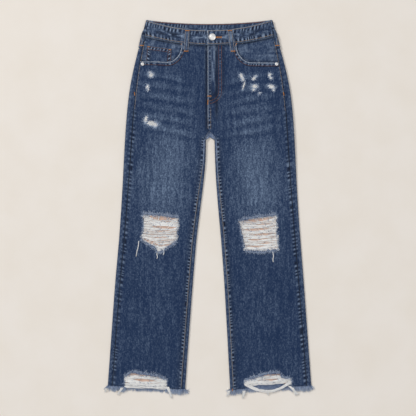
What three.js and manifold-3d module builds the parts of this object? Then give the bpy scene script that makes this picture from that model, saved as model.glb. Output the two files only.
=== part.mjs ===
// Ripped straight-leg jeans, laid flat on their back. Millimetres, +Z up.
//
// Frame: the origin is under the middle of the garment, on the surface it lies on. +Y runs from
// the hems to the waist, +X to the wearer's left, +Z up through the front. "right" and "left"
// are the wearer's. Two layers lie on each other: the back (panels, yokes, pockets) below and
// the front above. The back panels wrap round both folds of each leg to seams on the front.
import * as THREE from "three";
import { mergeVertices } from "three/addons/utils/BufferGeometryUtils.js";
import Module from "manifold-3d";

const wasm = await Module();
wasm.setup();

// ---------------------------------------------------------------- driving dimensions
const CLOTH = 1.5; // wall of one layer of denim, with its nap
const SEAM_GAP = 0.3; // between pieces that are sewn together
const HALF_GAP = SEAM_GAP / 2;
const LEG_AIR = 2.4; // between the two layers of a leg
const HIP_AIR = 3.4; // between the two layers of the hips, round the pocket facings
const HIP_LIFT = CLOTH + SEAM_GAP; // the hips lie on the back pockets and belt loops
const LIFT_FROM = 60; // the underside starts to rise here
const LIFT_TO = 165; // and has risen here

const WAIST_Y = 496; // top corners of the waistband
const WAIST_HALF = 168; // half the waist, laid flat
const BAND_SEAM_Y = 456; // where the waistband seam meets the sides
const BAND_SEAM_HALF = 178.5; // half the width there
const BAND_PROUD = 0.6; // the waistband's face above the panels
const BAND_WALL = 2.6; // two layers of denim and their turnings
const FRONT_TOP_DIP = 27.5; // how far the front's top edge hangs below the corners
const BACK_TOP_DIP = 10;
const YOKE_CENTRE_Y = 374; // yoke seam at the centre back
const YOKE_SIDE_RISE = 44; // and how much higher it is at the sides

const CROTCH_Y = 181; // lowest point of the joined seat
const CROTCH_TURN = 5; // the seat edge turns into the leg's fold this far either side
const FRONT_CROTCH_Y = 208; // where the two fronts part
const CENTRE_FRONT_X = -4; // the fly's edge and the front rise seam
const CENTRE_BACK_X = 2;
const HEM_OUTER_Y = -475;
const HEM_INNER_Y = -485;
const HEM_EVEN_Y = -380; // above this a row of the leg is level
const FRINGE = 11; // length of the frayed hem
const FRINGE_SPAN = 277; // furthest side reach of the fringe

// Plan of each leg: [y, x] of the outer fold and of the inner fold, and the widths of the
// back panel that wraps on to the front beside each fold.
const LEGS = {
  right: {
    out: -1,
    outer: [[496, -167], [455, -177.5], [388, -195], [335, -207], [282, -214.7], [203, -221.3],
      [17, -231.6], [-88, -238.8], [-195, -248.6], [-478, -268.7]],
    inner: [[186, -8], [130, -8.5], [70, -13.8], [-35, -27], [-88, -33.4], [-195, -42.4],
      [-484, -63.5]],
    innerWrap: 10,
  },
  left: {
    out: 1,
    outer: [[496, 168.5], [455, 179.5], [388, 198], [335, 211], [282, 219.4], [203, 225.8],
      [17, 235.3], [-88, 242.7], [-195, 251.2], [-478, 271.6]],
    inner: [[186, 14.5], [130, 16], [70, 18.6], [-35, 27.3], [-88, 32.3], [-195, 40.3],
      [-484, 56.4]],
    innerWrap: 7.5,
  },
};
const OUTER_WRAP = [[456, 8.5], [428, 9.5], [388, 12.5], [300, 17.5], [150, 18], [20, 15], [-478, 12]];

// Rips: the outline of each knee hole and hem notch, [x, y].
const KNEE_HOLES = {
  right: [[-176, -19], [-127, -22], [-81.5, -30], [-84, -54], [-88.5, -90], [-121, -112],
    [-136, -120], [-143, -105], [-170, -91], [-179, -82], [-171, -51]],
  left: [[79.5, -36], [127, -27.5], [179, -21.5], [178, -65], [183.5, -110], [143, -117],
    [97.5, -114], [89, -77]],
};
const HEM_NOTCHES = {
  right: [[-222.5, -449], [-203.5, -438.5], [-134.5, -449], [-113, -459.5]],
  left: [[96, -461.5], [124, -451], [156, -442], [188, -440], [192, -451], [217.5, -456.5]],
};
const THREAD_PANEL = 1.1; // thickness of the bundle of bare threads across a rip
const BACKING = 1.2; // cloth sewn behind a rip
const BACKING_MARGIN = 10;

// ---------------------------------------------------------------- small helpers
const lerp = (a, b, t) => a + (b - a) * t;
const clamp01 = (t) => Math.min(1, Math.max(0, t));
const smooth = (a, b, v) => {
  const t = clamp01((v - a) / (b - a));
  return t * t * (3 - 2 * t);
};
const steps = (n) => Array.from({ length: n + 1 }, (_, i) => i / n);

// A smooth curve through [y, value] points, listed from the highest y down.
function curveThrough(points) {
  const n = points.length;
  const slope = (i) => {
    const [a, b] = [points[Math.max(0, i - 1)], points[Math.min(n - 1, i + 1)]];
    return (b[1] - a[1]) / (b[0] - a[0]);
  };
  return (y) => {
    const i = Math.min(n - 2, Math.max(0, points.findIndex((p) => p[0] <= y) - 1));
    const k = y < points[n - 1][0] ? n - 2 : i;
    const [y0, v0] = points[k];
    const [y1, v1] = points[k + 1];
    const t = (y - y0) / (y1 - y0);
    if (t < 0 || t > 1) return lerp(v0, v1, t);
    const [m0, m1] = [slope(k) * (y1 - y0), slope(k + 1) * (y1 - y0)];
    const [t2, t3] = [t * t, t * t * t];
    return (2 * t3 - 3 * t2 + 1) * v0 + (t3 - 2 * t2 + t) * m0 + (3 * t2 - 2 * t3) * v1 + (t3 - t2) * m1;
  };
}

// ---------------------------------------------------------------- form of the flat garment
const raised = (y) => smooth(LIFT_FROM, LIFT_TO, y);
const floorOf = (y) => HIP_LIFT * raised(y);
const topOf = (y) => floorOf(y) + 2 * CLOTH + lerp(LEG_AIR, HIP_AIR, raised(y));
const arch = (y, dip, half) => (x) => y + dip * ((x / half) ** 2 - 1);
const frontTop = arch(WAIST_Y, FRONT_TOP_DIP, WAIST_HALF);
const backTop = arch(WAIST_Y, BACK_TOP_DIP, WAIST_HALF);
const frontBandSeam = arch(BAND_SEAM_Y, FRONT_TOP_DIP - 0.5, BAND_SEAM_HALF);
const backBandSeam = arch(BAND_SEAM_Y, BACK_TOP_DIP, BAND_SEAM_HALF);
const yokeSeam = (x) => YOKE_CENTRE_Y + (YOKE_SIDE_RISE * Math.abs(x)) / BAND_SEAM_HALF;
const outerWrap = curveThrough(OUTER_WRAP);
for (const leg of Object.values(LEGS)) {
  leg.outerX = curveThrough(leg.outer);
  leg.innerX = curveThrough(leg.inner);
  // The inseam starts on the fold at the crotch and comes forward down the thigh.
  leg.innerWrapAt = (y) => lerp(leg.innerWrap, foldRadius(y) + 0.5, smooth(0, CROTCH_Y, y));
}
const foldRadius = (y) => (topOf(y) - floorOf(y)) / 2;

// A point of the skin and the point one wall in from it.
const skin = (x, y, z, nx, nz, wall = CLOTH) => ({
  outside: new THREE.Vector3(x, y, z),
  inside: new THREE.Vector3(x - nx * wall, y, z - nz * wall),
});

// A place on the outer side, at distance along the cloth from the fold's furthest point:
// positive over the front, negative under the back. proud adds to the front's height.
function roundSide(leg, y, along, { proud = 0, off = 0, wall = CLOTH } = {}) {
  const r = (topOf(y) + proud - floorOf(y)) / 2;
  const middle = floorOf(y) + r;
  const turn = THREE.MathUtils.clamp(along / r, -Math.PI / 2, Math.PI / 2);
  const flat = Math.max(0, Math.abs(along) - (Math.PI / 2) * r);
  const [nx, nz] = [leg.out * Math.cos(turn), Math.sin(turn)];
  const x = leg.outerX(y) - leg.out * (r + flat) + nx * (r + off);
  return skin(x, y, middle + nz * (r + off), nx, nz, wall);
}
const alongTo = (y, inboard, proud = 0) => {
  const r = foldRadius(y) + proud / 2;
  return (Math.PI / 2) * r + inboard - r;
};

// ---------------------------------------------------------------- solids
// A closed wall through a grid of skin points.
function wallSolid(grid) {
  const [rows, cols] = [grid.length, grid[0].length];
  const positions = [];
  for (const layer of ["outside", "inside"])
    for (const row of grid) for (const p of row) positions.push(...p[layer].toArray());
  const at = (layer, i, j) => layer * rows * cols + i * cols + j;
  const index = [];
  const quad = (a, b, c, d) => index.push(a, b, c, a, c, d);
  for (let i = 0; i < rows - 1; i++)
    for (let j = 0; j < cols - 1; j++) {
      quad(at(0, i, j), at(0, i, j + 1), at(0, i + 1, j + 1), at(0, i + 1, j));
      quad(at(1, i, j), at(1, i + 1, j), at(1, i + 1, j + 1), at(1, i, j + 1));
    }
  for (let i = 0; i < rows - 1; i++) {
    quad(at(0, i, 0), at(0, i + 1, 0), at(1, i + 1, 0), at(1, i, 0));
    quad(at(0, i + 1, cols - 1), at(0, i, cols - 1), at(1, i, cols - 1), at(1, i + 1, cols - 1));
  }
  for (let j = 0; j < cols - 1; j++) {
    quad(at(0, 0, j + 1), at(0, 0, j), at(1, 0, j), at(1, 0, j + 1));
    quad(at(0, rows - 1, j), at(0, rows - 1, j + 1), at(1, rows - 1, j + 1), at(1, rows - 1, j));
  }
  const geometry = new THREE.BufferGeometry();
  geometry.setAttribute("position", new THREE.Float32BufferAttribute(positions, 3));
  geometry.setIndex(index);
  return facingOut(geometry);
}

// Reverses every face of a closed mesh whose faces point inwards.
function facingOut(geometry) {
  const p = geometry.getAttribute("position");
  const index = geometry.index.array;
  const [a, b, c] = [new THREE.Vector3(), new THREE.Vector3(), new THREE.Vector3()];
  let volume = 0;
  for (let i = 0; i < index.length; i += 3) {
    a.fromBufferAttribute(p, index[i]);
    b.fromBufferAttribute(p, index[i + 1]);
    c.fromBufferAttribute(p, index[i + 2]);
    volume += a.dot(b.cross(c));
  }
  if (volume < 0)
    for (let i = 0; i < index.length; i += 3) [index[i + 1], index[i + 2]] = [index[i + 2], index[i + 1]];
  return geometry;
}

function toManifold(geometry) {
  const bare = new THREE.BufferGeometry();
  bare.setAttribute("position", geometry.getAttribute("position"));
  if (geometry.index) bare.setIndex(geometry.index);
  const merged = mergeVertices(bare, 1e-4);
  const { array } = merged.getAttribute("position");
  const triVerts = new Uint32Array(merged.index.array);
  return new wasm.Manifold(new wasm.Mesh({ numProp: 3, vertProperties: array, triVerts }));
}

function fromManifold(solid) {
  const mesh = solid.getMesh();
  const geometry = new THREE.BufferGeometry();
  geometry.setAttribute("position", new THREE.BufferAttribute(mesh.vertProperties, 3));
  geometry.setIndex(new THREE.BufferAttribute(mesh.triVerts, 1));
  return geometry;
}

const cut = (geometry, ...tools) =>
  fromManifold(tools.reduce((solid, tool) => solid.subtract(toManifold(tool)), toManifold(geometry)));

// A flat plate from z0 to z1 with the outline of a THREE.Shape.
function plate(shape, z0, z1) {
  const geometry = new THREE.ExtrudeGeometry(shape, { depth: z1 - z0, bevelEnabled: false });
  return geometry.translate(0, 0, z0);
}

const polygon = (points) => new THREE.Shape(points.map(([x, y]) => new THREE.Vector2(x, y)));

// The outline moved by a distance, in along its own normals or out where the distance is negative.
function inset(points, distance) {
  const v = points.map(([x, y]) => new THREE.Vector2(x, y));
  const clockwise = THREE.ShapeUtils.isClockWise(v) ? -1 : 1;
  const n = v.length;
  return v.map((p, i) => {
    const before = p.clone().sub(v[(i + n - 1) % n]).normalize();
    const after = v[(i + 1) % n].clone().sub(p).normalize();
    const normal = new THREE.Vector2(-before.y - after.y, before.x + after.x).multiplyScalar(clockwise);
    const half = normal.length() / 2;
    normal.normalize().multiplyScalar(distance / Math.max(half, 0.5));
    return [p.x + normal.x, p.y + normal.y];
  });
}

// ---------------------------------------------------------------- materials
const cloth = (color, roughness = 0.92) => new THREE.MeshStandardMaterial({ color, roughness, metalness: 0 });
const DENIM = cloth(0x34507a);
const DENIM_INSIDE = cloth(0x2c4468);
const BARE_THREAD = cloth(0xe9e4de);
const BACKING_CLOTH = cloth(0xd9a88a);
const FRAY = cloth(0x7f97bb);
const NICKEL = new THREE.MeshStandardMaterial({ color: 0xd8d6d2, roughness: 0.3, metalness: 1 });
const ZIP = new THREE.MeshStandardMaterial({ color: 0x8a7a55, roughness: 0.45, metalness: 0.8 });

const jeans = new THREE.Group();
function add(name, geometry, material) {
  const mesh = new THREE.Mesh(geometry, material);
  mesh.name = name;
  jeans.add(mesh);
  return mesh;
}

// ---------------------------------------------------------------- back panels
// Rows of the legs from the hem to the crotch, then shares of the way from there up.
const LEG_ROWS = [-480, -380, -290, -195, -88, -10, 50, 90, 130, 160];
const CROTCH_ROWS = [-1, -0.5, 0, 0.5, 1].map((k) => CROTCH_Y + k * CROTCH_TURN);

// The hem slopes: rows near it are lower at the inner fold.
function hemShift(leg, x, y) {
  const across = clamp01((x - leg.innerX(y)) / (leg.outerX(y) - leg.innerX(y)));
  const slope = lerp(HEM_INNER_Y, HEM_OUTER_Y, across) - LEG_ROWS[0];
  return slope * clamp01((HEM_EVEN_Y - y) / (HEM_EVEN_Y - LEG_ROWS[0]));
}
const hemAt = (leg, x) => LEG_ROWS[0] + hemShift(leg, x, LEG_ROWS[0]);

// The back's inner edge: flat to the centre seam above the crotch, rolled round the inner fold
// and on to the front below it. share runs from 0, on the floor, to 1, at the seam.
function innerEdge(leg, y, share, wall = CLOTH) {
  const folded = smooth(CROTCH_Y + CROTCH_TURN, CROTCH_Y - CROTCH_TURN, y);
  const r = foldRadius(y);
  const arc = Math.PI * r;
  const lip = leg.innerWrapAt(y) - HALF_GAP - r;
  const travelled = share * (arc + lip);
  const turn = Math.min(travelled / r, Math.PI);
  const centre = leg.innerX(y) + leg.out * r;
  const rolled = {
    x: centre - leg.out * r * Math.sin(turn) + leg.out * Math.max(0, travelled - arc),
    z: floorOf(y) + r - r * Math.cos(turn),
  };
  const flatX = CENTRE_BACK_X + leg.out * lerp(arc, HALF_GAP, share);
  const angle = turn * folded - Math.PI / 2;
  const [x, z] = [lerp(flatX, rolled.x, folded), lerp(floorOf(y), rolled.z, folded)];
  return skin(x, y, z, -leg.out * Math.cos(angle), Math.sin(angle), wall);
}

// Columns across the back of one leg at height y, from the outseam, round the outer fold and
// along the floor to the inseam or the centre.
const FOLD_TURNS = [60, 30, 0, -30, -60, -90].map(THREE.MathUtils.degToRad);
function backColumns(leg, { proud = 0, wall = CLOTH, wrap = outerWrap } = {}) {
  const radius = (y) => foldRadius(y) + proud / 2;
  const onto = (along) => (y) => roundSide(leg, y, along(y), { proud, wall });
  const front = [1, 0.5, 0].map((share) =>
    onto((y) => lerp((Math.PI / 2) * radius(y), alongTo(y, wrap(y) - HALF_GAP, proud), share)),
  );
  const fold = FOLD_TURNS.map((turn) => onto((y) => turn * radius(y)));
  const floor = [0.2, 0.4, 0.6, 0.8].map((share) => (y) => {
    const from = roundSide(leg, y, (-Math.PI / 2) * radius(y), { proud }).outside.x;
    const to = innerEdge(leg, y, 0).outside.x;
    return skin(lerp(from, to, share), y, floorOf(y), 0, -1, wall);
  });
  const inner = [0, 0.16, 0.32, 0.48, 0.64, 0.8, 1].map((share) => (y) => innerEdge(leg, y, share, wall));
  return [...front, ...fold, ...floor, ...inner];
}

// The waistband's seam and top edge at a point of the garment, higher at the back.
const isFront = ({ y, z }) => z > floorOf(y) + foldRadius(y) + 1;
const bandSeamAt = (point) => (isFront(point) ? frontBandSeam : backBandSeam)(point.x);
const bandTopAt = (point) => (isFront(point) ? frontTop : backTop)(point.x);

function backPanel(leg) {
  const columns = backColumns(leg);
  const legRows = [...LEG_ROWS, ...CROTCH_ROWS].map((row) =>
    columns.map((place) => place(row + hemShift(leg, place(row).outside.x, row))),
  );
  const hipRows = steps(4).map((share) =>
    columns.map((place) => {
      const top = yokeSeam(place(YOKE_CENTRE_Y).outside.x) - HALF_GAP;
      return place(lerp(CROTCH_Y + 4 * CROTCH_TURN, top, share));
    }),
  );
  return wallSolid([...legRows, ...hipRows]);
}

function backYoke(leg) {
  const columns = backColumns(leg);
  return wallSolid(
    steps(3).map((share) =>
      columns.map((place) => {
        const seam = yokeSeam(place(YOKE_CENTRE_Y).outside.x) + HALF_GAP;
        const top = bandSeamAt(place(BAND_SEAM_Y).outside) - HALF_GAP;
        return place(lerp(seam, top, share));
      }),
    ),
  );
}

// ---------------------------------------------------------------- front panels
// The fronts part below the rise: each inner edge leaves the centre for its leg's inseam.
function frontInnerX(leg, y) {
  const centre = CENTRE_FRONT_X + leg.out * HALF_GAP;
  const inseam = leg.innerX(Math.min(y, CROTCH_Y)) + leg.out * (leg.innerWrapAt(y) + HALF_GAP);
  return lerp(inseam, centre, smooth(CROTCH_Y, FRONT_CROTCH_Y + 4, y));
}

const frontOuterX = (leg, y) => leg.outerX(y) - leg.out * (outerWrap(y) + HALF_GAP);

// The pocket mouth: down from the waistband, round a quarter ellipse, and across to the side.
const POCKET = { mouthX: 73, bendX: 111, bendY: 430, bottomY: 384, facingUnder: 14 };
function pocketMouth(leg) {
  const shape = new THREE.Shape();
  const s = leg.out;
  shape.moveTo(s * POCKET.mouthX, WAIST_Y);
  shape.lineTo(s * POCKET.mouthX, POCKET.bendY);
  for (const t of steps(6).slice(1)) {
    const turn = (t * Math.PI) / 2;
    shape.lineTo(
      s * lerp(POCKET.bendX, POCKET.mouthX, Math.cos(turn)),
      POCKET.bendY - (POCKET.bendY - POCKET.bottomY) * Math.sin(turn),
    );
  }
  shape.lineTo(s * 230, POCKET.bottomY);
  shape.lineTo(s * 230, WAIST_Y);
  return shape;
}

// A hem notch is open at the hem: its outline is closed well below it.
const THROUGH = 20; // taller than the garment is thick
const BELOW_HEM_Y = -520;
function closedNotch(side) {
  const points = HEM_NOTCHES[side];
  return [...points, [points.at(-1)[0], BELOW_HEM_Y], [points[0][0], BELOW_HEM_Y]];
}

function frontPanel(side) {
  const leg = LEGS[side];
  const columns = steps(6).map((share) => (y) => {
    const x = lerp(frontOuterX(leg, y), frontInnerX(leg, y), share);
    return skin(x, y, topOf(y), 0, 1);
  });
  const levels = [...LEG_ROWS, 176, 186, 196, FRONT_CROTCH_Y - 4, FRONT_CROTCH_Y + 4];
  const legRows = levels.map((row) =>
    columns.map((place) => place(row + hemShift(leg, place(row).outside.x, row))),
  );
  const hipRows = steps(5)
    .slice(1)
    .map((share) =>
      columns.map((place) => {
        const top = frontBandSeam(place(BAND_SEAM_Y).outside.x) - HALF_GAP;
        return place(lerp(levels.at(-1), top, share));
      }),
    );
  return cut(
    wallSolid([...legRows, ...hipRows]),
    plate(pocketMouth(leg), 0, THROUGH),
    plate(polygon(KNEE_HOLES[side]), 0, THROUGH),
    plate(polygon(closedNotch(side)), 0, THROUGH),
  );
}

// ---------------------------------------------------------------- front pockets
const FACING_DEPTH = 3.2; // the facing's face below the front's
const FACING_WALL = 1.2;
const FACING_BOTTOM_Y = POCKET.bottomY - 18;
function pocketFacing(leg) {
  const rows = steps(3);
  const columns = steps(5);
  return wallSolid(
    rows.map((up) =>
      columns.map((across) => {
        const nearX = leg.out * (POCKET.mouthX - POCKET.facingUnder);
        const at = (y) => lerp(nearX, leg.outerX(y) - leg.out * (outerWrap(y) - 3), across);
        const top = frontBandSeam(at(BAND_SEAM_Y)) - SEAM_GAP;
        const y = lerp(FACING_BOTTOM_Y, top, up);
        return skin(at(y), y, topOf(y) - FACING_DEPTH, 0, 1, FACING_WALL);
      }),
    ),
  );
}

// The coin pocket lies on the right facing and runs down behind the mouth.
const COIN_POCKET = [[-164, 426], [-97, 416.5], [-97, 370], [-164, 370]];
function coinPocket() {
  const base = topOf(POCKET.bottomY) - FACING_DEPTH + SEAM_GAP;
  return plate(polygon(COIN_POCKET), base, base + 1);
}

// ---------------------------------------------------------------- waistband
const WAISTBAND_ROWS = steps(2);
const LAP_X = -5; // the left end laps over the right one here
function bandFront(leg) {
  const fromX = leg.out < 0 ? LAP_X - HALF_GAP : LAP_X + HALF_GAP;
  return wallSolid(
    WAISTBAND_ROWS.map((up) =>
      steps(7).map((across) => {
        const at = (y) => lerp(fromX, leg.outerX(y) - leg.out * (outerWrap(BAND_SEAM_Y) + HALF_GAP), across);
        const [low, high] = [frontBandSeam(at(BAND_SEAM_Y)) + HALF_GAP, frontTop(at(WAIST_Y))];
        const y = lerp(low, high, up);
        return skin(at(y), y, topOf(y) + BAND_PROUD, 0, 1, BAND_WALL);
      }),
    ),
  );
}

function bandBack() {
  const [right, left] = [LEGS.right, LEGS.left].map((leg) =>
    backColumns(leg, { proud: BAND_PROUD, wall: BAND_WALL, wrap: () => outerWrap(BAND_SEAM_Y) }),
  );
  const columns = [...right.slice(0, -1), ...left.slice(0, -1).reverse()];
  return wallSolid(
    WAISTBAND_ROWS.map((up) =>
      columns.map((place) => {
        const low = bandSeamAt(place(BAND_SEAM_Y).outside) + HALF_GAP;
        const high = Math.min(WAIST_Y, bandTopAt(place(WAIST_Y).outside));
        return place(lerp(low, high, up));
      }),
    ),
  );
}

// ---------------------------------------------------------------- fly
const ZIP_TAPE = { x0: -2, x1: 24, y0: 280, y1: 424, z0: 5.1, z1: 6.3 };
const FLY_SHIELD = { x0: -12, x1: 34, y0: 272, y1: 426, z0: 3.7, z1: 4.8 };
const slab = ({ x0, x1, y0, y1, z0, z1 }) => plate(polygon([[x0, y0], [x1, y0], [x1, y1], [x0, y1]]), z0, z1);

// ---------------------------------------------------------------- belt loops
const LOOP = { width: 13.2, wall: 1.4, belowSeam: 20, arch: 1.2 };
const LOOP_CLEAR = HIP_LIFT - LOOP.wall; // from the cloth it is sewn to
// A front loop: [x, y] of its top and foot, standing a little clear of the band for the belt.
function frontLoop(top, foot) {
  const heights = [0, 0.08, 0.3, 0.55, 0.78, 0.9, 1];
  return wallSolid(
    heights.map((share) => {
      const [x, y] = [lerp(top[0], foot[0], share), lerp(top[1], foot[1], share)];
      const onBand = smooth(0.82, 0.62, share) * BAND_PROUD;
      const clear = LOOP.arch * Math.sin(Math.PI * clamp01((share - 0.05) / 0.9));
      const z = topOf(y) + onBand + LOOP_CLEAR + clear + LOOP.wall;
      return [-0.5, 0.5].map((half) => skin(x + half * LOOP.width, y, z, 0, 1, LOOP.wall));
    }),
  );
}

// A side loop lies under the band, and its foot comes round the fold on to the front.
function sideLoop(leg) {
  const topY = WAIST_Y - 1;
  const footY = BAND_SEAM_Y - LOOP.belowSeam - 12;
  return wallSolid(
    steps(10).map((share) => {
      const y = lerp(topY, footY, share);
      const middle = lerp(-13, 2, smooth(0.1, 0.9, share));
      const proud = BAND_PROUD * smooth(BAND_SEAM_Y - 14, BAND_SEAM_Y - 5, y);
      return steps(10).map((across) =>
        roundSide(leg, y, middle + (0.5 - across) * LOOP.width, {
          proud,
          off: LOOP_CLEAR + LOOP.wall,
          wall: LOOP.wall,
        }),
      );
    }),
  );
}

const centreLoop = () =>
  slab({
    x0: CENTRE_BACK_X - LOOP.width / 2,
    x1: CENTRE_BACK_X + LOOP.width / 2,
    y0: backBandSeam(0) - LOOP.belowSeam,
    y1: backTop(0) - 0.5,
    z0: 0,
    z1: LOOP.wall,
  });

// ---------------------------------------------------------------- back pockets
const BACK_POCKET = { x: 97, topY: 346, tilt: 8, topHalf: 70, lowHalf: 60, sideY: 215, pointY: 192 };
function backPocket(leg) {
  const { x, topY, tilt, topHalf, lowHalf, sideY, pointY } = BACK_POCKET;
  const s = leg.out;
  return plate(
    polygon([
      [s * (x - topHalf), topY - tilt / 2],
      [s * (x + topHalf), topY + tilt / 2],
      [s * (x + lowHalf), sideY],
      [s * x, pointY],
      [s * (x - lowHalf), sideY],
    ]),
    0,
    CLOTH,
  );
}

// ---------------------------------------------------------------- metal
const BUTTON = { x: 8.5, y: 450, radius: 9.2, shank: 4, height: 4.2 };
function button() {
  const { radius, shank, height } = BUTTON;
  const profile = [[0, 0], [shank, 0], [shank, 1.6], [radius - 1, 1.6], [radius, 2.2], [radius, 3.2],
    [radius - 1, height], [radius - 2.4, height], [radius - 3, 3.7], [0, 3.7]];
  return lathe(profile, 32, BUTTON.x, BUTTON.y, topOf(BUTTON.y) + BAND_PROUD + SEAM_GAP);
}

const RIVET = { radius: 4.4, height: 1.9 };
const RIVET_AT = { right: [-176, 379], left: [179, 379] };
function rivet([x, y]) {
  const { radius, height } = RIVET;
  const profile = [[0, 0], [radius, 0], [radius, 0.5], [radius - 1, 1.2], [radius / 2, 1.2],
    [radius / 2 - 0.5, height], [0, height]];
  return lathe(profile, 20, x, y, topOf(y) + SEAM_GAP);
}

function lathe(profile, around, x, y, z) {
  const points = profile.map(([r, h]) => new THREE.Vector2(r, h));
  const geometry = new THREE.LatheGeometry(points, around);
  geometry.deleteAttribute("uv");
  geometry.deleteAttribute("normal");
  return geometry.rotateX(Math.PI / 2).translate(x, y, z);
}

// ---------------------------------------------------------------- rips and fringes
const THREAD_Z = topOf(0) - 0.2 - THREAD_PANEL;
const BACKING_Z = CLOTH + 0.6;

const threadPanel = (points) => plate(polygon(points), THREAD_Z, THREAD_Z + THREAD_PANEL);
const kneeThreads = (side) => threadPanel(inset(KNEE_HOLES[side], SEAM_GAP));

function kneeBacking(side) {
  const xs = KNEE_HOLES[side].map((p) => p[0]);
  const ys = KNEE_HOLES[side].map((p) => p[1]);
  const [x0, x1] = [Math.min(...xs) - BACKING_MARGIN, Math.max(...xs) + BACKING_MARGIN];
  const [y0, y1] = [Math.min(...ys) - BACKING_MARGIN, Math.max(...ys) + BACKING_MARGIN];
  return slab({ x0, x1, y0, y1, z0: BACKING_Z, z1: BACKING_Z + BACKING });
}

// The threads left across a hem notch hang in a shallow bow between its ends.
const HEM_BOW = { right: { endY: -470, lowY: -487 }, left: { endY: -472, lowY: -489 } };
function hemThreads(side) {
  const top = inset(closedNotch(side), SEAM_GAP).slice(0, HEM_NOTCHES[side].length);
  const [first, last] = [top[0], top.at(-1)];
  const { endY, lowY } = HEM_BOW[side];
  const bow = steps(6).map((t) => [lerp(last[0], first[0], t), lerp(endY, lowY, Math.sin(Math.PI * t))]);
  return threadPanel([...top, ...bow]);
}
function hemBacking(side) {
  const xs = HEM_NOTCHES[side].map((p) => p[0]);
  return slab({
    x0: Math.min(...xs) - BACKING_MARGIN / 2,
    x1: Math.max(...xs) + BACKING_MARGIN / 2,
    y0: -468,
    y1: -430,
    z0: BACKING_Z,
    z1: BACKING_Z + BACKING,
  });
}

// A strip of fringe along the hem from x0 to x1.
function fringe(leg, x0, x1, z0) {
  const edge = (x, drop) => [x, hemAt(leg, x) - drop];
  const outline = [edge(x0, SEAM_GAP), edge(x1, SEAM_GAP), edge(x1, FRINGE), edge(x0, FRINGE)];
  return plate(polygon(outline), z0, z0 + CLOTH);
}

// ---------------------------------------------------------------- the garment
for (const [side, leg] of Object.entries(LEGS)) {
  add(`back_panel_${side}`, backPanel(leg), DENIM);
  add(`back_yoke_${side}`, backYoke(leg), DENIM);
  add(`front_panel_${side}`, frontPanel(side), DENIM);
  add(`pocket_facing_${side}`, pocketFacing(leg), DENIM);
  add(`waistband_front_${side}`, bandFront(leg), DENIM);
  add(`back_pocket_${side}`, backPocket(leg), DENIM);
  add(`belt_loop_side_${side}`, sideLoop(leg), DENIM);
  add(`pocket_rivet_${side}`, rivet(RIVET_AT[side]), NICKEL);

  add(`knee_threads_${side}`, kneeThreads(side), BARE_THREAD);
  add(`knee_backing_${side}`, kneeBacking(side), BACKING_CLOTH);
  add(`hem_threads_${side}`, hemThreads(side), BARE_THREAD);
  add(`hem_backing_${side}`, hemBacking(side), BACKING_CLOTH);

  const [innerEnd, outerEnd] = [leg.innerX(HEM_INNER_Y) - leg.out * 6, leg.out * FRINGE_SPAN];
  const notchXs = HEM_NOTCHES[side].map((p) => p[0]).sort((a, b) => Math.abs(a) - Math.abs(b));
  const [nearX, farX] = [notchXs[0] - leg.out * SEAM_GAP, notchXs.at(-1) + leg.out * SEAM_GAP];
  add(`hem_fringe_back_${side}`, fringe(leg, innerEnd, outerEnd, 0), FRAY);
  add(`hem_fringe_front_inner_${side}`, fringe(leg, innerEnd, nearX, topOf(HEM_OUTER_Y) - CLOTH), FRAY);
  add(`hem_fringe_front_outer_${side}`, fringe(leg, farX, outerEnd, topOf(HEM_OUTER_Y) - CLOTH), FRAY);
}
add("waistband_back", bandBack(), DENIM);
add("coin_pocket", coinPocket(), DENIM);
add("fly_zip", slab(ZIP_TAPE), ZIP);
add("fly_shield", slab(FLY_SHIELD), DENIM_INSIDE);
add("belt_loop_front_right", frontLoop([-56.4, 470], [-61.2, 410]), DENIM);
add("belt_loop_front_left", frontLoop([55.9, 470], [62.8, 410]), DENIM);
add("belt_loop_back", centreLoop(), DENIM);
add("waist_button", button(), NICKEL);

export default jeans;
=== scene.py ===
"""Ripped straight-leg jeans laid flat: the finish of every piece of the CAD frame."""
import math

import bpy
import numpy as np
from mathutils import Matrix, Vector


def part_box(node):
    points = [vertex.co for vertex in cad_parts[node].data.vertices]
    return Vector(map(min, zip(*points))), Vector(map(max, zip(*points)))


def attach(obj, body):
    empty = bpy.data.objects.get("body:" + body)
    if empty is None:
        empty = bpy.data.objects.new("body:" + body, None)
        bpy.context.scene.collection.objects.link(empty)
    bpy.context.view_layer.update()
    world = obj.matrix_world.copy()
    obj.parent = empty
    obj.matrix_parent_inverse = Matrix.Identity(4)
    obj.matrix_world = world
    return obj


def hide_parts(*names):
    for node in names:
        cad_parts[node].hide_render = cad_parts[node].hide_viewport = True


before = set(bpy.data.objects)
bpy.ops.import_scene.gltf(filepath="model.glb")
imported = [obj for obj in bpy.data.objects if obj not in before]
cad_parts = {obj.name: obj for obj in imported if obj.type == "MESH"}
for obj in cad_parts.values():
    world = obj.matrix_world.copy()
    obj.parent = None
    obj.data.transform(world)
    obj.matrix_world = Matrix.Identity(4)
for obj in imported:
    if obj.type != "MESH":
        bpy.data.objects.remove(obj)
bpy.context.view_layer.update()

MM = 0.001  # the cloth below is worked out in millimetres
OUT = {"right": -1, "left": 1}  # the wearer's sides, and which way is outwards along X


# ------------------------------------------------------------------ small helpers
def smooth(a, b, v):
    t = np.clip((v - a) / (b - a), 0, 1)
    return t * t * (3 - 2 * t)


def lerp(a, b, t):
    return a + (b - a) * t


def bell(d, width):
    return np.exp(-((d / width) ** 2))


def share(v):
    return np.clip(v, 0, 1)


def xyz(x, y, z):
    """Points from their coordinates, which may be arrays or plain numbers."""
    return np.stack(np.broadcast_arrays(x, y, z), -1)


def grid(columns, rows, left=0.0):
    """How far across, from left to left + 1, and how far up, from 0 to 1, each point of a grid is."""
    return np.meshgrid(np.linspace(left, left + 1, columns), np.linspace(0, 1, rows))


def box(node):
    """The low and the high corner of a CAD solid."""
    return [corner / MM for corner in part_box(node)]


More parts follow.
